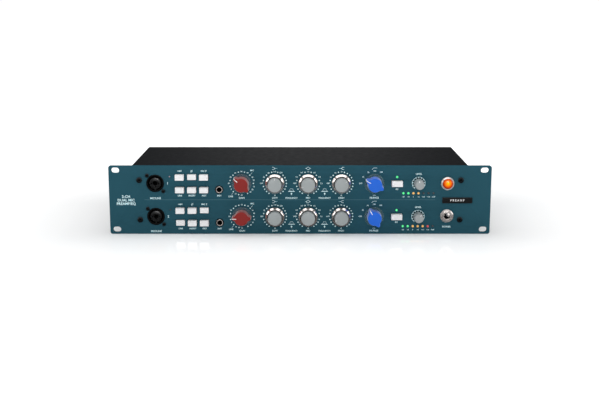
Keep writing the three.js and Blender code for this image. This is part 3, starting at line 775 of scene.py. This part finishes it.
def button_legend(n):
    marks = []
    for bases, labels, rise in zip(BUTTONS, BUTTON_LABELS, (7.6, -7.7)):
        for base, text in zip(bases, labels):
            x, _, z = centre(f"{base}_{n}")
            marks += words(x, z, (text, 0, rise, 2.75)) if text else polarity_glyph(x, z + rise)
    for base, text, rise, size in (("inst_jack", "INST", -7.8, 2.7), ("eq_button", "EQ", -7.4, 2.5)):
        x, _, z = centre(f"{base}_{n}")
        marks += words(x, z, (text, 0, rise, size))
    marks += words(centre(f"combo_jack_{n}")[0], LINE_Z[n], ("MIC/LINE", 0, -19.2, 3.4))
    return marks + words(PHANTOM_LED[0], LINE_Z[n], (str(n), -2.7, 0, 4.0))


def output_legend(n):
    x, _, z = centre(f"level_knob_{n}")
    marks = words(x, z, ("LEVEL", 0, 12.0, 3.1))
    for (led_x, led_z), text in zip(meter_places(n), METER_LABELS):
        marks += words(led_x, led_z, (text, 0, -4.6, 2.15))
    return marks


def level_scale(n):
    """A white arc with ten teeth inwards, and black squares between them that are painted shade round the
    knob's foot.
    """
    x, _, z = centre(f"level_knob_{n}")
    white = strokes(x, z, 0.4, [polar(8.2, 5 * k) for k in range(-8, 49)])
    white += strokes(x, z, 1.1, *([polar(r, 226.5 - 27 * k) for r in (6.9, 8.2)] for k in range(10)))
    # The black squares are painted shade next to the knob.
    dark = strokes(x, z, 1.9, *([polar(r, 213 - 27 * k) for r in (6.4, 7.8)] for k in range(10)))
    return [(shape, INK) for shape in white] + [(shape, DEEP_BLACK) for shape in dark]


def build_legends():
    ink = words(centre("toggle_body")[0], LINE_Z[2], ("POWER", 0, -13.4, 3.1))
    for line, text in enumerate(TITLE):
        ink += words(-219.9, MID_Z, (text, 0, 4.2 - 4.6 * line, 4.7))
    for n in CHANNELS:
        ink += gain_legend(n) + hipass_legend(n) + button_legend(n) + output_legend(n)
        for band in BANDS:
            ink += band_legend(band, n)
    # The level scales bring their painted shade squares in with the print.
    printed = [(shape, INK) for shape in ink] + level_scale(1) + level_scale(2)
    piece("panel_legends", "case", printed, (0, FACE_Y, 0))
    rule = print_line([(-196.8, MID_Z + 0.3), (170.9, MID_Z + 0.3)], 0.4)
    piece("panel_divider", "case", [(rule, DIM_INK)], (0, FACE_Y, 0))


# ---- Controls ----


def build_button(name):
    """A cap with chamfered edges round a face that is a little hollow."""
    half_x, half_z = half_size(name)
    front = box_mm(name)[0][1] - FACE_Y

    def section(inset, radius, y):
        right, top = half_x - inset, half_z - inset
        return rounded_rectangle(-right, right, -top, top, radius, 4), front + y

    cap = loft([
        section(0, 0.5, 8.4), section(0, 0.5, 0.9), section(0.12, 0.5, 0.5), section(0.75, 0.5, 0.05),
        section(0.9, 0.4, 0), section(1.4, 0.3, 0.12), section(2.3, 0.2, 0.2),
    ])
    stem = block(-1.9, 1.9, front + 8.2, front + 18.4, -1.9, 1.9, 0.2)
    panel_piece(name + "_cap", name, [(cap, WHITE), (stem, BLACK)], name, sharp=25)


def pointer_outline(body, wing, reach, steps=14):
    """A round body with two narrower wings that end in round tips, from the front."""
    root = math.degrees(math.asin((wing + 0.9) / body))
    half = [polar(body, root + (180 - 2 * root) * step / steps) for step in range(steps + 1)]
    tip_radius = wing * 0.8
    tip = [(reach - tip_radius + x, z) for x, z in (polar(tip_radius, a) for a in range(-72, 73, 24))]
    neck_x = math.sqrt(body ** 2 - wing ** 2) + 0.7
    right = [(neck_x, -wing), *tip, (neck_x, wing)]
    return [*right, *half, *((-x, -z) for x, z in right), *((-x, -z) for x, z in half)]


def index_bar(sections, half_width):
    """A bar that runs outwards, through (inner radius, outer radius, y) sections."""
    w = half_width
    return loft([([(a, -w), (b, -w), (b, w), (a, w)], y) for a, b, y in sections])


def build_pointer_knob(name, angle, body_material, disc_material):
    """A knob with two wings and a white line on one of them, over a clear disc."""
    steps = [
        (9.2, 3.0, 12.4, -2.5), (9.1, 2.95, 12.3, -5), (8.75, 2.7, 11.9, -14.6), (8.65, 2.6, 11.8, -15.4),
        (8.4, 2.35, 11.5, -15.85), (8.1, 2.05, 11.2, -16.0), (7.8, 1.8, 10.9, -15.98),
    ]
    body = loft([(pointer_outline(radius, wing, reach), y) for radius, wing, reach, y in steps])
    mark = block(6.3, 11.2, -16.12, -15.5, -0.45, 0.45, 0.12)
    tail = index_bar(
        [(11.4, 12.46, -2.9), (11.0, 12.04, -14.6), (10.6, 11.7, -15.85), (10.4, 11.15, -16.1)], 0.45
    )
    parts = [(body, body_material), (rod(2.9, -1, 12.5), NICKEL), (mark, MARK), (tail, MARK)]
    panel_piece(name + "_body", name, each(parts, pointed, angle), name, sharp=40)
    disc = turned([(9.0, -2.5), (12.45, -2.5, 0.5), (12.45, -0.9, 0.3), (9.0, -0.9)], 72, closed=True)
    x, _, z = centre(name)
    disc = piece(name + "_disc", name, [(disc, disc_material)], (x, FACE_Y, z), (), sharp=40)
    disc.visible_shadow = False


def fluted_outline(radius, count, depth):
    """A circle with shallow round grooves cut into it."""
    points = []
    for k in range(count):
        for share, cut in ((0.0, 0.0), (0.42, 0.0), (0.58, 0.75), (0.71, 1.0), (0.84, 0.75)):
            points.append(polar(radius - cut * depth, 360 * (k + share) / count))
    return points


def build_frequency_ring(name, angle):
    """A tapered chrome ring round the knob in its middle, with an index line across it. A near-black floor
    in the gap between the ring and the knob is painted shade.
    """
    ring = turned([
        (2.7, -6.5), (9.5, -6.5, 0.2), (9.75, -7.45, 0.1), (10.0, -7.58, 0.1), (12.35, -5.05, 0.4),
        (12.1, -1.1, 0.3), (11.7, -0.85), (3.7, -0.85), (3.7, 11), (2.7, 11),
    ], 96, closed=True)
    index = pointed(index_bar([(9.3, 9.9, -7.62), (11.7, 12.4, -5.05)], 0.4), angle)
    # Painted shade: a near-black floor laid in the gap round the knob.
    gap_shade = turned([(8.85, -6.4), (9.7, -6.4), (9.72, -7.2), (8.85, -7.0)], 72, closed=True)
    parts = [(ring, CHROME), (index, BLACK), (gap_shade, DEEP_BLACK)]
    panel_piece(name + "_skirt", name, parts, name, sharp=50)


# The rim's radius, flutes and their depth; the body's sections as (scale, y); the turned face;
# the shaft's radius and ends; and the box of the white index.
GAIN_CAP = {
    "rim": (8.75, 36, 0.38),
    "sections": ((0.985, -6.95), (1.0, -7.4), (1.0, -14.5), (0.99, -15.0), (0.955, -15.4), (0.92, -15.58)),
    "face": ([(0, -15.5), (6.6, -15.5, 0.4), (6.9, -15.6, 0.2), (7.9, -15.6, 0.1), (8.0, -15.4)], 72),
    "shaft": (2.2, -7, 12.5),
    "mark": (6.5, 8.5, -15.6, -15.0, -0.55, 0.55, 0.1),
}
LEVEL_CAP = {
    "rim": (6.25, 28, 0.35),
    "sections": ((1.0, -0.9), (0.985, -4), (0.93, -13.1), (0.92, -13.7), (0.88, -14.05), (0.85, -14.15)),
    "face": ([(0, -14.0), (4.1, -14.0, 0.3), (4.4, -14.2, 0.2), (5.1, -14.18)], 56),
    "shaft": (2.9, -1, 12.5),
    "mark": (3.4, 5.5, -14.2, -12.9, -0.45, 0.45, 0.1),
}


def build_grey_knob(name, angle, cap):
    """A flat-faced knob with a fluted edge and a white index."""
    rim = fluted_outline(*cap["rim"])
    body = loft([(scaled(rim, size), y) for size, y in cap["sections"]])
    face = turned(*cap["face"])
    parts = [(body, GREY), (face, GREY), (rod(*cap["shaft"]), NICKEL), (block(*cap["mark"]), MARK)]
    panel_piece(name + "_cap", name, each(parts, pointed, angle), name, sharp=40)


def build_controls():
    for n in CHANNELS:
        for row in BUTTONS:
            for base in row:
                build_button(f"{base}_{n}")
        build_button(f"eq_button_{n}")
        at_rest = {key: angles[n - 1] for key, angles in POINTER.items()}
        build_pointer_knob(f"gain_knob_{n}", at_rest["gain"], RED, SMOKE_GREY)
        build_pointer_knob(f"hipass_knob_{n}", at_rest["hipass"], BLUE, SMOKE_DARK)
        for band in BANDS:
            build_frequency_ring(f"{band}_frequency_ring_{n}", at_rest[band + "_ring"])
            build_grey_knob(f"{band}_gain_knob_{n}", at_rest[band + "_gain"], GAIN_CAP)
        build_grey_knob(f"level_knob_{n}", at_rest["level"], LEVEL_CAP)


# ---- Sockets, lights and switch on the panel ----


def screw_head(radius, height, socket, depth=0.9):
    """A domed head with a hexagon socket, standing on y = 0. The socket's near-black floor is painted
    shade.
    """
    dome = turned([
        (socket, -height + depth), (socket, -height, 0.08), (radius * 0.7, -height, 0.35),
        (radius, -height * 0.45, 0.3), (radius, -0.1), (socket, -0.1),
    ], 40, closed=True)
    # The near-black hexagon at the bottom of the socket is painted shade.
    return [(dome, BLACK_STEEL), (rod(socket + 0.05, depth - height, -0.1, 6), DEEP_BLACK)]


def build_combo_jack(n):
    name = f"combo_jack_{n}"
    collar = turned([
        (9.15, 14), (9.15, -0.3, 0.25), (9.6, -0.6, 0.3), (10.6, -0.6, 0.3), (10.95, -0.2, 0.2),
        (10.95, 3.3), (11.8, 3.3), (11.8, 14),
    ], 72, closed=True)
    core_holes = [circle(0, 0, 3.1, 36)] + [circle(*polar(4.4, a), 0.9, 20) for a in (0, 180, 270)]
    core = plate([circle(0, 0, 5.6, 72), *core_holes], 0.3, 14, rounding=0.05)
    bevel = turned([(5.5, 0.3), (6.75, 0.74, 0.2), (7.5, 1.7), (7.5, 4), (5.5, 4)], 72, closed=True)
    key = block(-0.9, 0.9, 0.1, 13, -9.0, -7.0, 0.2)
    shell = rod(11.8, 13.8, 34, 40)
    flange = plate([rounded_rectangle(-13, 13, -13, 13, 2), circle(0, 0, 11.4, 48)], 3.4, 5.5)
    parts = [(collar, DEEP_BLACK), (core, BLACK), (bevel, GLOSS_BLACK), (key, BLACK), (shell, DEEP_BLACK)]
    parts.append((flange, BLACK))
    for side in (-1, 1):
        parts += each(screw_head(2.5, 1.6, 1.0), moved, side * COMBO_SCREW, 0, -side * COMBO_SCREW)
    panel_piece(f"combo_socket_{n}", name, parts)


def build_inst_jack(n):
    name = f"inst_jack_{n}"
    ring = turned([
        (3.3, 2.5), (3.3, -0.6, 0.15), (3.6, -0.85, 0.15), (4.0, -0.8, 0.15), (4.1, -0.4), (4.1, 2.5),
    ], 56, closed=True)
    shoulder = turned([(4.05, 2.5), (4.05, -0.4), (5.0, -0.3, 0.1), (5.1, 2.5)], 56, closed=True)
    tube = turned([(3.3, -0.2), (3.3, 28), (5, 28), (5, -0.2)], 40, closed=True)
    housing = plate([rounded_rectangle(-8, 8, -6.6, 6.6, 0.5), circle(0, 0, 5.2, 36)], 3.4, 30.4)
    parts = [(ring, POLISHED), (shoulder, DEEP_BLACK), (tube, DEEP_BLACK)]
    parts += [(rod(5, 27.5, 29.5), DEEP_BLACK), (housing, BLACK)]
    panel_piece(f"inst_socket_{n}", name, parts)


def lens_dome(radius, height):
    return turned([
        (0, -height), (radius * 0.5, -height * 0.88), (radius * 0.86, -height * 0.48), (radius, 0.3),
        (radius, 3.2), (0, 3.2),
    ], 24)


def build_leds(n):
    """The row of meter lamps and the two single lamps of a channel."""
    name = f"meter_led_strip_{n}"
    x = centre(name)[0]
    parts = [(block(-21.4, 21.4, 3.9, 19.6, -2.3, 2.3, 0.3), BLACK)]
    for (led_x, _), state in zip(meter_places(n), METER_STATES[n]):
        parts.append((moved(lens_dome(1.52, 1.0), led_x - x), LENSES[state]))
        parts.append((moved(rod(1.3, 3, 5, 16), led_x - x), DEEP_BLACK))
    panel_piece(f"meter_lights_{n}", name, parts)
    phantom, equaliser = single_led_places(n)
    for label, (led_x, led_z), size, state in (
        ("phantom", phantom, 0.95, "faint" if n == 1 else "off"),
        ("eq", equaliser, 1.52, "green"),
    ):
        lens = [(lens_dome(size, 0.9), LENSES[state])]
        piece(f"{label}_light_{n}", "case", lens, (led_x, FACE_Y, led_z), ())


def jewel_shape(count=12):
    """A dome cut in rows of flat facets, each row turned by half a facet."""
    bm = bmesh.new()
    rings = []
    for k, (radius, y) in enumerate(((6.6, -3.1), (6.0, -4.2), (4.5, -5.15), (2.5, -5.75))):
        ring = [polar(radius, 180 / count * (k % 2) + 360 * i / count) for i in range(count)]
        rings.append([bm.verts.new((px, y, pz)) for px, pz in ring])
    for k, (outer, inner) in enumerate(zip(rings, rings[1:])):
        for i in range(count):
            after = (i + 1) % count
            if k % 2 == 0:
                bm.faces.new((outer[i], outer[after], inner[i]))
                bm.faces.new((inner[i], outer[after], inner[after]))
            else:
                bm.faces.new((outer[i], inner[after], inner[i]))
                bm.faces.new((outer[i], outer[after], inner[after]))
    bm.faces.new(rings[-1])
    stem = [bm.verts.new((v.co.x, -1.4, v.co.z)) for v in rings[0]]
    bridge(bm, rings[0], stem, count)
    bm.faces.new(stem)
    bmesh.ops.recalc_face_normals(bm, faces=bm.faces)
    return bm


def build_lamp():
    bezel = turned([
        (0, -1.25), (6.65, -1.25), (6.65, -3.2, 0.1), (6.8, -3.38, 0.1), (7.1, -3.3, 0.3),
        (8.38, -1.6, 0.5), (8.38, -0.15), (6.3, -0.15), (6.3, 14), (0, 14),
    ], 72)
    panel_piece("lamp_ring", "lamp_bezel", [(bezel, POLISHED)], sharp=50)
    lens = panel_piece("lamp_lens", "lamp_jewel", [(jewel_shape(), JEWEL)])
    lens.data.shade_flat()


def build_toggle():
    nut = turned([
        (3.7, 4.2), (3.7, -2.9, 0.2), (4.0, -3.45, 0.3), (4.8, -3.6, 0.5), (6.6, -3.2, 1.5),
        (8.35, -1.9, 0.7), (8.35, -0.2), (5.35, -0.2), (5.35, 7.6), (3.7, 7.6),
    ], 64, closed=True)
    # The near-black liner and plug in the nut's bore are painted shade down the hole.
    liner = turned([(3.72, 4.2), (3.72, -2.6), (3.55, -2.6), (3.55, 4.2)], 40, closed=True)
    housing = block(-6.5, 6.5, 7.6, 26, -10, 10, 0.4)
    parts = [(nut, SATIN), (rod(5.3, 4.0, 7.5, 32), DEEP_BLACK), (liner, DEEP_BLACK), (housing, BLACK)]
    panel_piece("toggle_bush", "toggle_body", parts)

    tip = turned([
        (0, -17.7), (1.1, -17.55), (2.0, -16.9), (2.5, -15.8), (2.4, -14.6), (2.0, -12.5), (0, -12.5),
    ], 40)
    shaft = turned([(0, -12.6), (1.95, -12.6), (1.4, -8), (1.2, -5), (1.3, -2.8), (0, -2.7)], 32)
    shaded_pivot = turned([(0, -2.8), (1.5, -2.7), (2.6, -1.8), (3.1, -0.5), (3.1, 0.6), (2.2, 2.3), (0, 3.2)], 32)
    # The bat is one piece of metal: its shaft's darker nickel and its pivot's dark steel are painted shade
    # going down into the bush, and the tip keeps the nut's satin finish.
    parts = each([(tip, SATIN), (shaft, NICKEL), (shaded_pivot, BLACK_STEEL)], spun, -TOGGLE_TILT, "X")
    x, _, z = centre("toggle_body")
    piece("toggle_bat", "toggle_lever", parts, (x, FACE_Y + TOGGLE_PIVOT, z), ["toggle_lever"])


def build_panel_screws():
    for name in PANEL_SCREWS:
        parts = [*screw_head(3.65, 1.85, 1.35, 1.2), (rod(1.9, -0.2, 8), BLACK_STEEL)]
        panel_piece(name + "_head", name, parts)


def build_badge():
    half_x, half_z = half_size("badge_plate")
    plaque = plate([rounded_rectangle(-half_x, half_x, -half_z, half_z, 0.8)], -1.2, -0.1, rounding=0.3)
    text = moved(print_text("PREAMP", 0, 0, 3.7, spacing=1.5), y=-1.2 + 0.01)
    panel_piece("badge_plaque", "badge_plate", [(plaque, BLACK), (text, MARK)])


# ---- Case and rear ----


def finish_case():
    """The folded sheets keep their CAD shape, with softened folds and edges."""
    for node in ("top_cover", "chassis_tray", "rear_panel"):
        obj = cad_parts[node]
        dress(node, CASE_PAINT)
        bevel = obj.modifiers.new("soft edges", "BEVEL")
        bevel.width = 0.25 * MM
        bevel.segments = 2
        bevel.limit_method = "ANGLE"
        bevel.angle_limit = math.radians(40)


def dress(node, material):
    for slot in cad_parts[node].material_slots:
        slot.material = material


def cross_screw(radius):
    """A shallow pan head with a cross recess drawn as two near-black bars of painted shade, standing on y
    = 0 and facing the front.
    """
    dome = [(0, -1.1), (radius * 0.6, -1.05, 0.3), (radius * 0.95, -0.6, 0.3), (radius, -0.1), (0, -0.1)]
    recess_shade = [block(-x, x, -1.16, -0.7, -z, z) for x, z in ((1.5, 0.3), (0.3, 1.5))]
    return [(turned(dome, 36), BLACK_STEEL), *((arm, DEEP_BLACK) for arm in recess_shade)]


def build_case_screws():
    for side, label in ((-1, "left"), (1, "right")):
        parts = []
        for y in COVER_SCREWS["y"]:
            screw = each(cross_screw(2.9), spun, side * 90, "Z")
            parts += each(screw, moved, side * CASE_HIGH[0], y, COVER_SCREWS["z"])
        piece(f"cover_screws_{label}", "case", parts)


def build_output_xlr(n):
    """A male three-pin socket on the rear."""
    edge = rounded_rectangle(-13, 13, -15.5, 15.5, 3)
    flange = plate([edge, circle(0, 0, 8.2, 56)], -2.0, -0.15, rounding=0.35)
    cup = turned([
        (8.15, -1.9), (8.15, 14), (0, 14), (0, 18), (11.3, 18), (11.3, 0.2), (8.6, 0.2), (8.6, -1.9),
    ], 56)
    rim = turned([(8.2, -1.0), (8.2, -2.4, 0.15), (9.4, -2.4, 0.3), (9.9, -1.9)], 56)
    key = block(-1.1, 1.1, -1.5, 13, -8.3, -7.1, 0.2)
    parts = [(flange, BLACK), (cup, DEEP_BLACK), (rim, NICKEL), (key, BLACK)]
    for angle in (0, 180, 90):
        dx, dz = polar(4.15, angle)
        pin = turned([(0, 1.1), (0.6, 1.25), (1.1, 2.2), (1.15, 15), (0, 15)], 20)
        parts.append((moved(pin, dx, 0, dz), GOLD))
    for side in (-1, 1):
        parts += each(cross_screw(2.5), moved, side * 9.5, -2.0, side * 12)
        parts.append((moved(rod(1.3, -2, 4, 12), side * 9.5, 0, side * 12), BLACK_STEEL))
    rear_piece(f"output_socket_{n}", f"output_xlr_{n}", parts)


def build_rear_jacks(n):
    """A send and a return socket in one housing, on a small board behind the rear wall."""
    name = f"rear_jacks_{n}"
    half_x, half_z = half_size(name)
    bores = [circle(side * JACK_SPREAD, 0, 4.85, 36) for side in (-1, 1)]
    outline = rounded_rectangle(-20, 20, -7.95, 7.95, 0.8)
    parts = [
        (block(-half_x, half_x, 29.4, 31, -half_z, half_z, 0.15), BOARD),
        (plate([outline, *bores], -1.2, 29.5, rounding=0.4), BLACK),
    ]
    for side in (-1, 1):
        liner = turned([(3.3, -1.1), (4.9, -1.1), (4.9, 28), (0, 28), (0, 27), (3.3, 27), (3.3, -1.1)], 36)
        rim = turned([
            (3.35, -0.6), (3.35, -1.2, 0.1), (3.6, -1.45, 0.15), (5.6, -1.45, 0.3), (6.0, -1.15),
            (6.0, -0.6),
        ], 48, closed=True)
        parts += each([(liner, DEEP_BLACK), (rim, NICKEL)], moved, side * JACK_SPREAD)
    rear_piece(name + "_sockets", name, parts)


def build_power_inlet():
    half_x, half_z = half_size("power_inlet")
    recess = [(-12, -8, 1), (12, -8, 1), (12, 4, 0.8), (8, 8, 0.8), (-8, 8, 0.8), (-12, 4, 0.8)]
    mouth = filleted(recess, closed=True)
    edge = rounded_rectangle(-half_x, half_x, -half_z, half_z, 5)
    flange = plate([edge, mouth], -2.25, -0.15, rounding=0.4)
    shell = plate([rounded_rectangle(-13.4, 13.4, -9.9, 9.9, 1), mouth], -0.2, 16, rounding=0.1)
    back = block(-13.4, 13.4, 15.8, 22, -9.9, 9.9, 0.2)
    parts = [(flange, BLACK), (shell, DEEP_BLACK), (back, DEEP_BLACK)]
    for x, z in ((-7, -2), (7, -2), (0, 2)):
        parts.append((block(x - 1, x + 1, 1.5, 16.5, z - 2, z + 2, 0.35), NICKEL))
    for side in (-1, 1):
        parts += each(cross_screw(2.4), moved, side * 19.3, -2.2)
    rear_piece("inlet_socket", "power_inlet", parts)


def build_rear_legends():
    """Printed facing the front at minus x, so that they come to x when they turn round."""
    x, _, z = centre("power_inlet")
    marks = words(-x, z, ("AC IN", 0, -15, 3.0))
    for n in CHANNELS:
        x, _, z = centre(f"output_xlr_{n}")
        marks += words(-x, z, (f"OUTPUT {n}", 0, -18.6, 3.0))
        x, _, z = centre(f"rear_jacks_{n}")
        for side, text in ((1, "SEND"), (-1, "RETURN")):
            marks += words(-x, z, (f"{text} {n}", side * JACK_SPREAD, -11.5, 2.6))
    printed = each([(shape, INK) for shape in marks], turned_round)
    piece("rear_legends", "case", printed, (0, REAR_Y, 0))


def dress_inside():
    for node in ("power_board", "control_board", "main_board"):
        dress(node, BOARD)
    dress("mains_transformer", WINDING)


# ---- Stage ----


def stand(name, data, location, rotation=(0, 0, 0)):
    """Puts an object on the stage."""
    obj = bpy.data.objects.new(name, data)
    obj.location = location
    obj.rotation_euler = rotation
    bpy.context.scene.collection.objects.link(obj)
    return obj


def build_camera():
    """The view of a long lens, a little above the unit and straight in front of it."""
    data = bpy.data.cameras.new("camera")
    data.sensor_width = 36
    data.lens = CAMERA["lens"]
    data.clip_end = 50
    place = (0, FACE_Y * MM - CAMERA["distance"], CAMERA["height"])
    bpy.context.scene.camera = stand("camera", data, place, (math.radians(CAMERA["tilt"]), 0, 0))


def build_light(name, location, target, size, watts):
    data = bpy.data.lights.new(name, "AREA")
    data.shape = "RECTANGLE"
    data.size, data.size_y = size
    data.energy = watts
    aim = Vector(target) - Vector(location)
    stand(name, data, location, aim.to_track_quat("-Z", "Y").to_euler())


def build_floor():
    """A white table that glows more with distance from the unit, so that it fades into a white room; the
    weaker glow close to the unit is painted shade round its foot.
    It is hidden from mirror-like surfaces, so that the metal keeps a dark lower half."""
    nodes = Nodes("floor_white")
    footprint = (PANEL_HIGH[0] * MM, -FACE_Y * MM, 0)
    here = nodes.vector("ABSOLUTE", nodes.coordinates["Object"])
    outside = nodes.vector("MAXIMUM", nodes.vector("SUBTRACT", here, footprint), (0, 0, 0))
    nodes.shade(
        Base_Color=nodes.ramp(nodes.noise(2, detail=2), FLOOR_WHITES),
        Emission_Strength=nodes.map_range(nodes.vector("LENGTH", outside), FLOOR_GLOW),
        Emission_Color=(1, 1, 1, 1), Roughness=0.04, Specular_IOR_Level=0.5,
    )
    mesh = bpy.data.meshes.new("floor")
    bm = bmesh.new()
    bmesh.ops.create_grid(bm, x_segments=1, y_segments=1, size=FLOOR_SIZE)
    bm.to_mesh(mesh)
    bm.free()
    mesh.materials.append(nodes.material)
    floor = stand("floor", mesh, (0, 0, cad_bounds[0][2]))
    floor.visible_glossy = False


def build_world():
    """A dim room that gets brighter overhead."""
    world = bpy.data.worlds.new("studio")
    world.use_nodes = True
    tree = world.node_tree
    coordinates = tree.nodes.new("ShaderNodeTexCoord")
    split = tree.nodes.new("ShaderNodeSeparateXYZ")
    ramp = tree.nodes.new("ShaderNodeValToRGB")
    stops = [(height, (level * 0.97, level * 0.99, level)) for height, level in WORLD_STOPS]
    set_stops(ramp.color_ramp, stops)
    tree.links.new(coordinates.outputs["Generated"], split.inputs["Vector"])
    tree.links.new(split.outputs["Z"], ramp.inputs["Fac"])
    tree.links.new(ramp.outputs["Color"], tree.nodes["Background"].inputs["Color"])
    bpy.context.scene.world = world


def build_stage():
    build_floor()
    build_world()
    bpy.context.scene.view_settings.view_transform = "Standard"
    for light in LIGHTS:
        build_light(*light)


# ---- Scene ----

build_camera()
build_stage()
build_panel()
build_legends()
build_controls()
for channel in CHANNELS:
    build_combo_jack(channel)
    build_inst_jack(channel)
    build_leds(channel)
    build_output_xlr(channel)
    build_rear_jacks(channel)
build_lamp()
build_toggle()
build_panel_screws()
build_badge()
finish_case()
build_case_screws()
build_power_inlet()
build_rear_legends()
dress_inside()
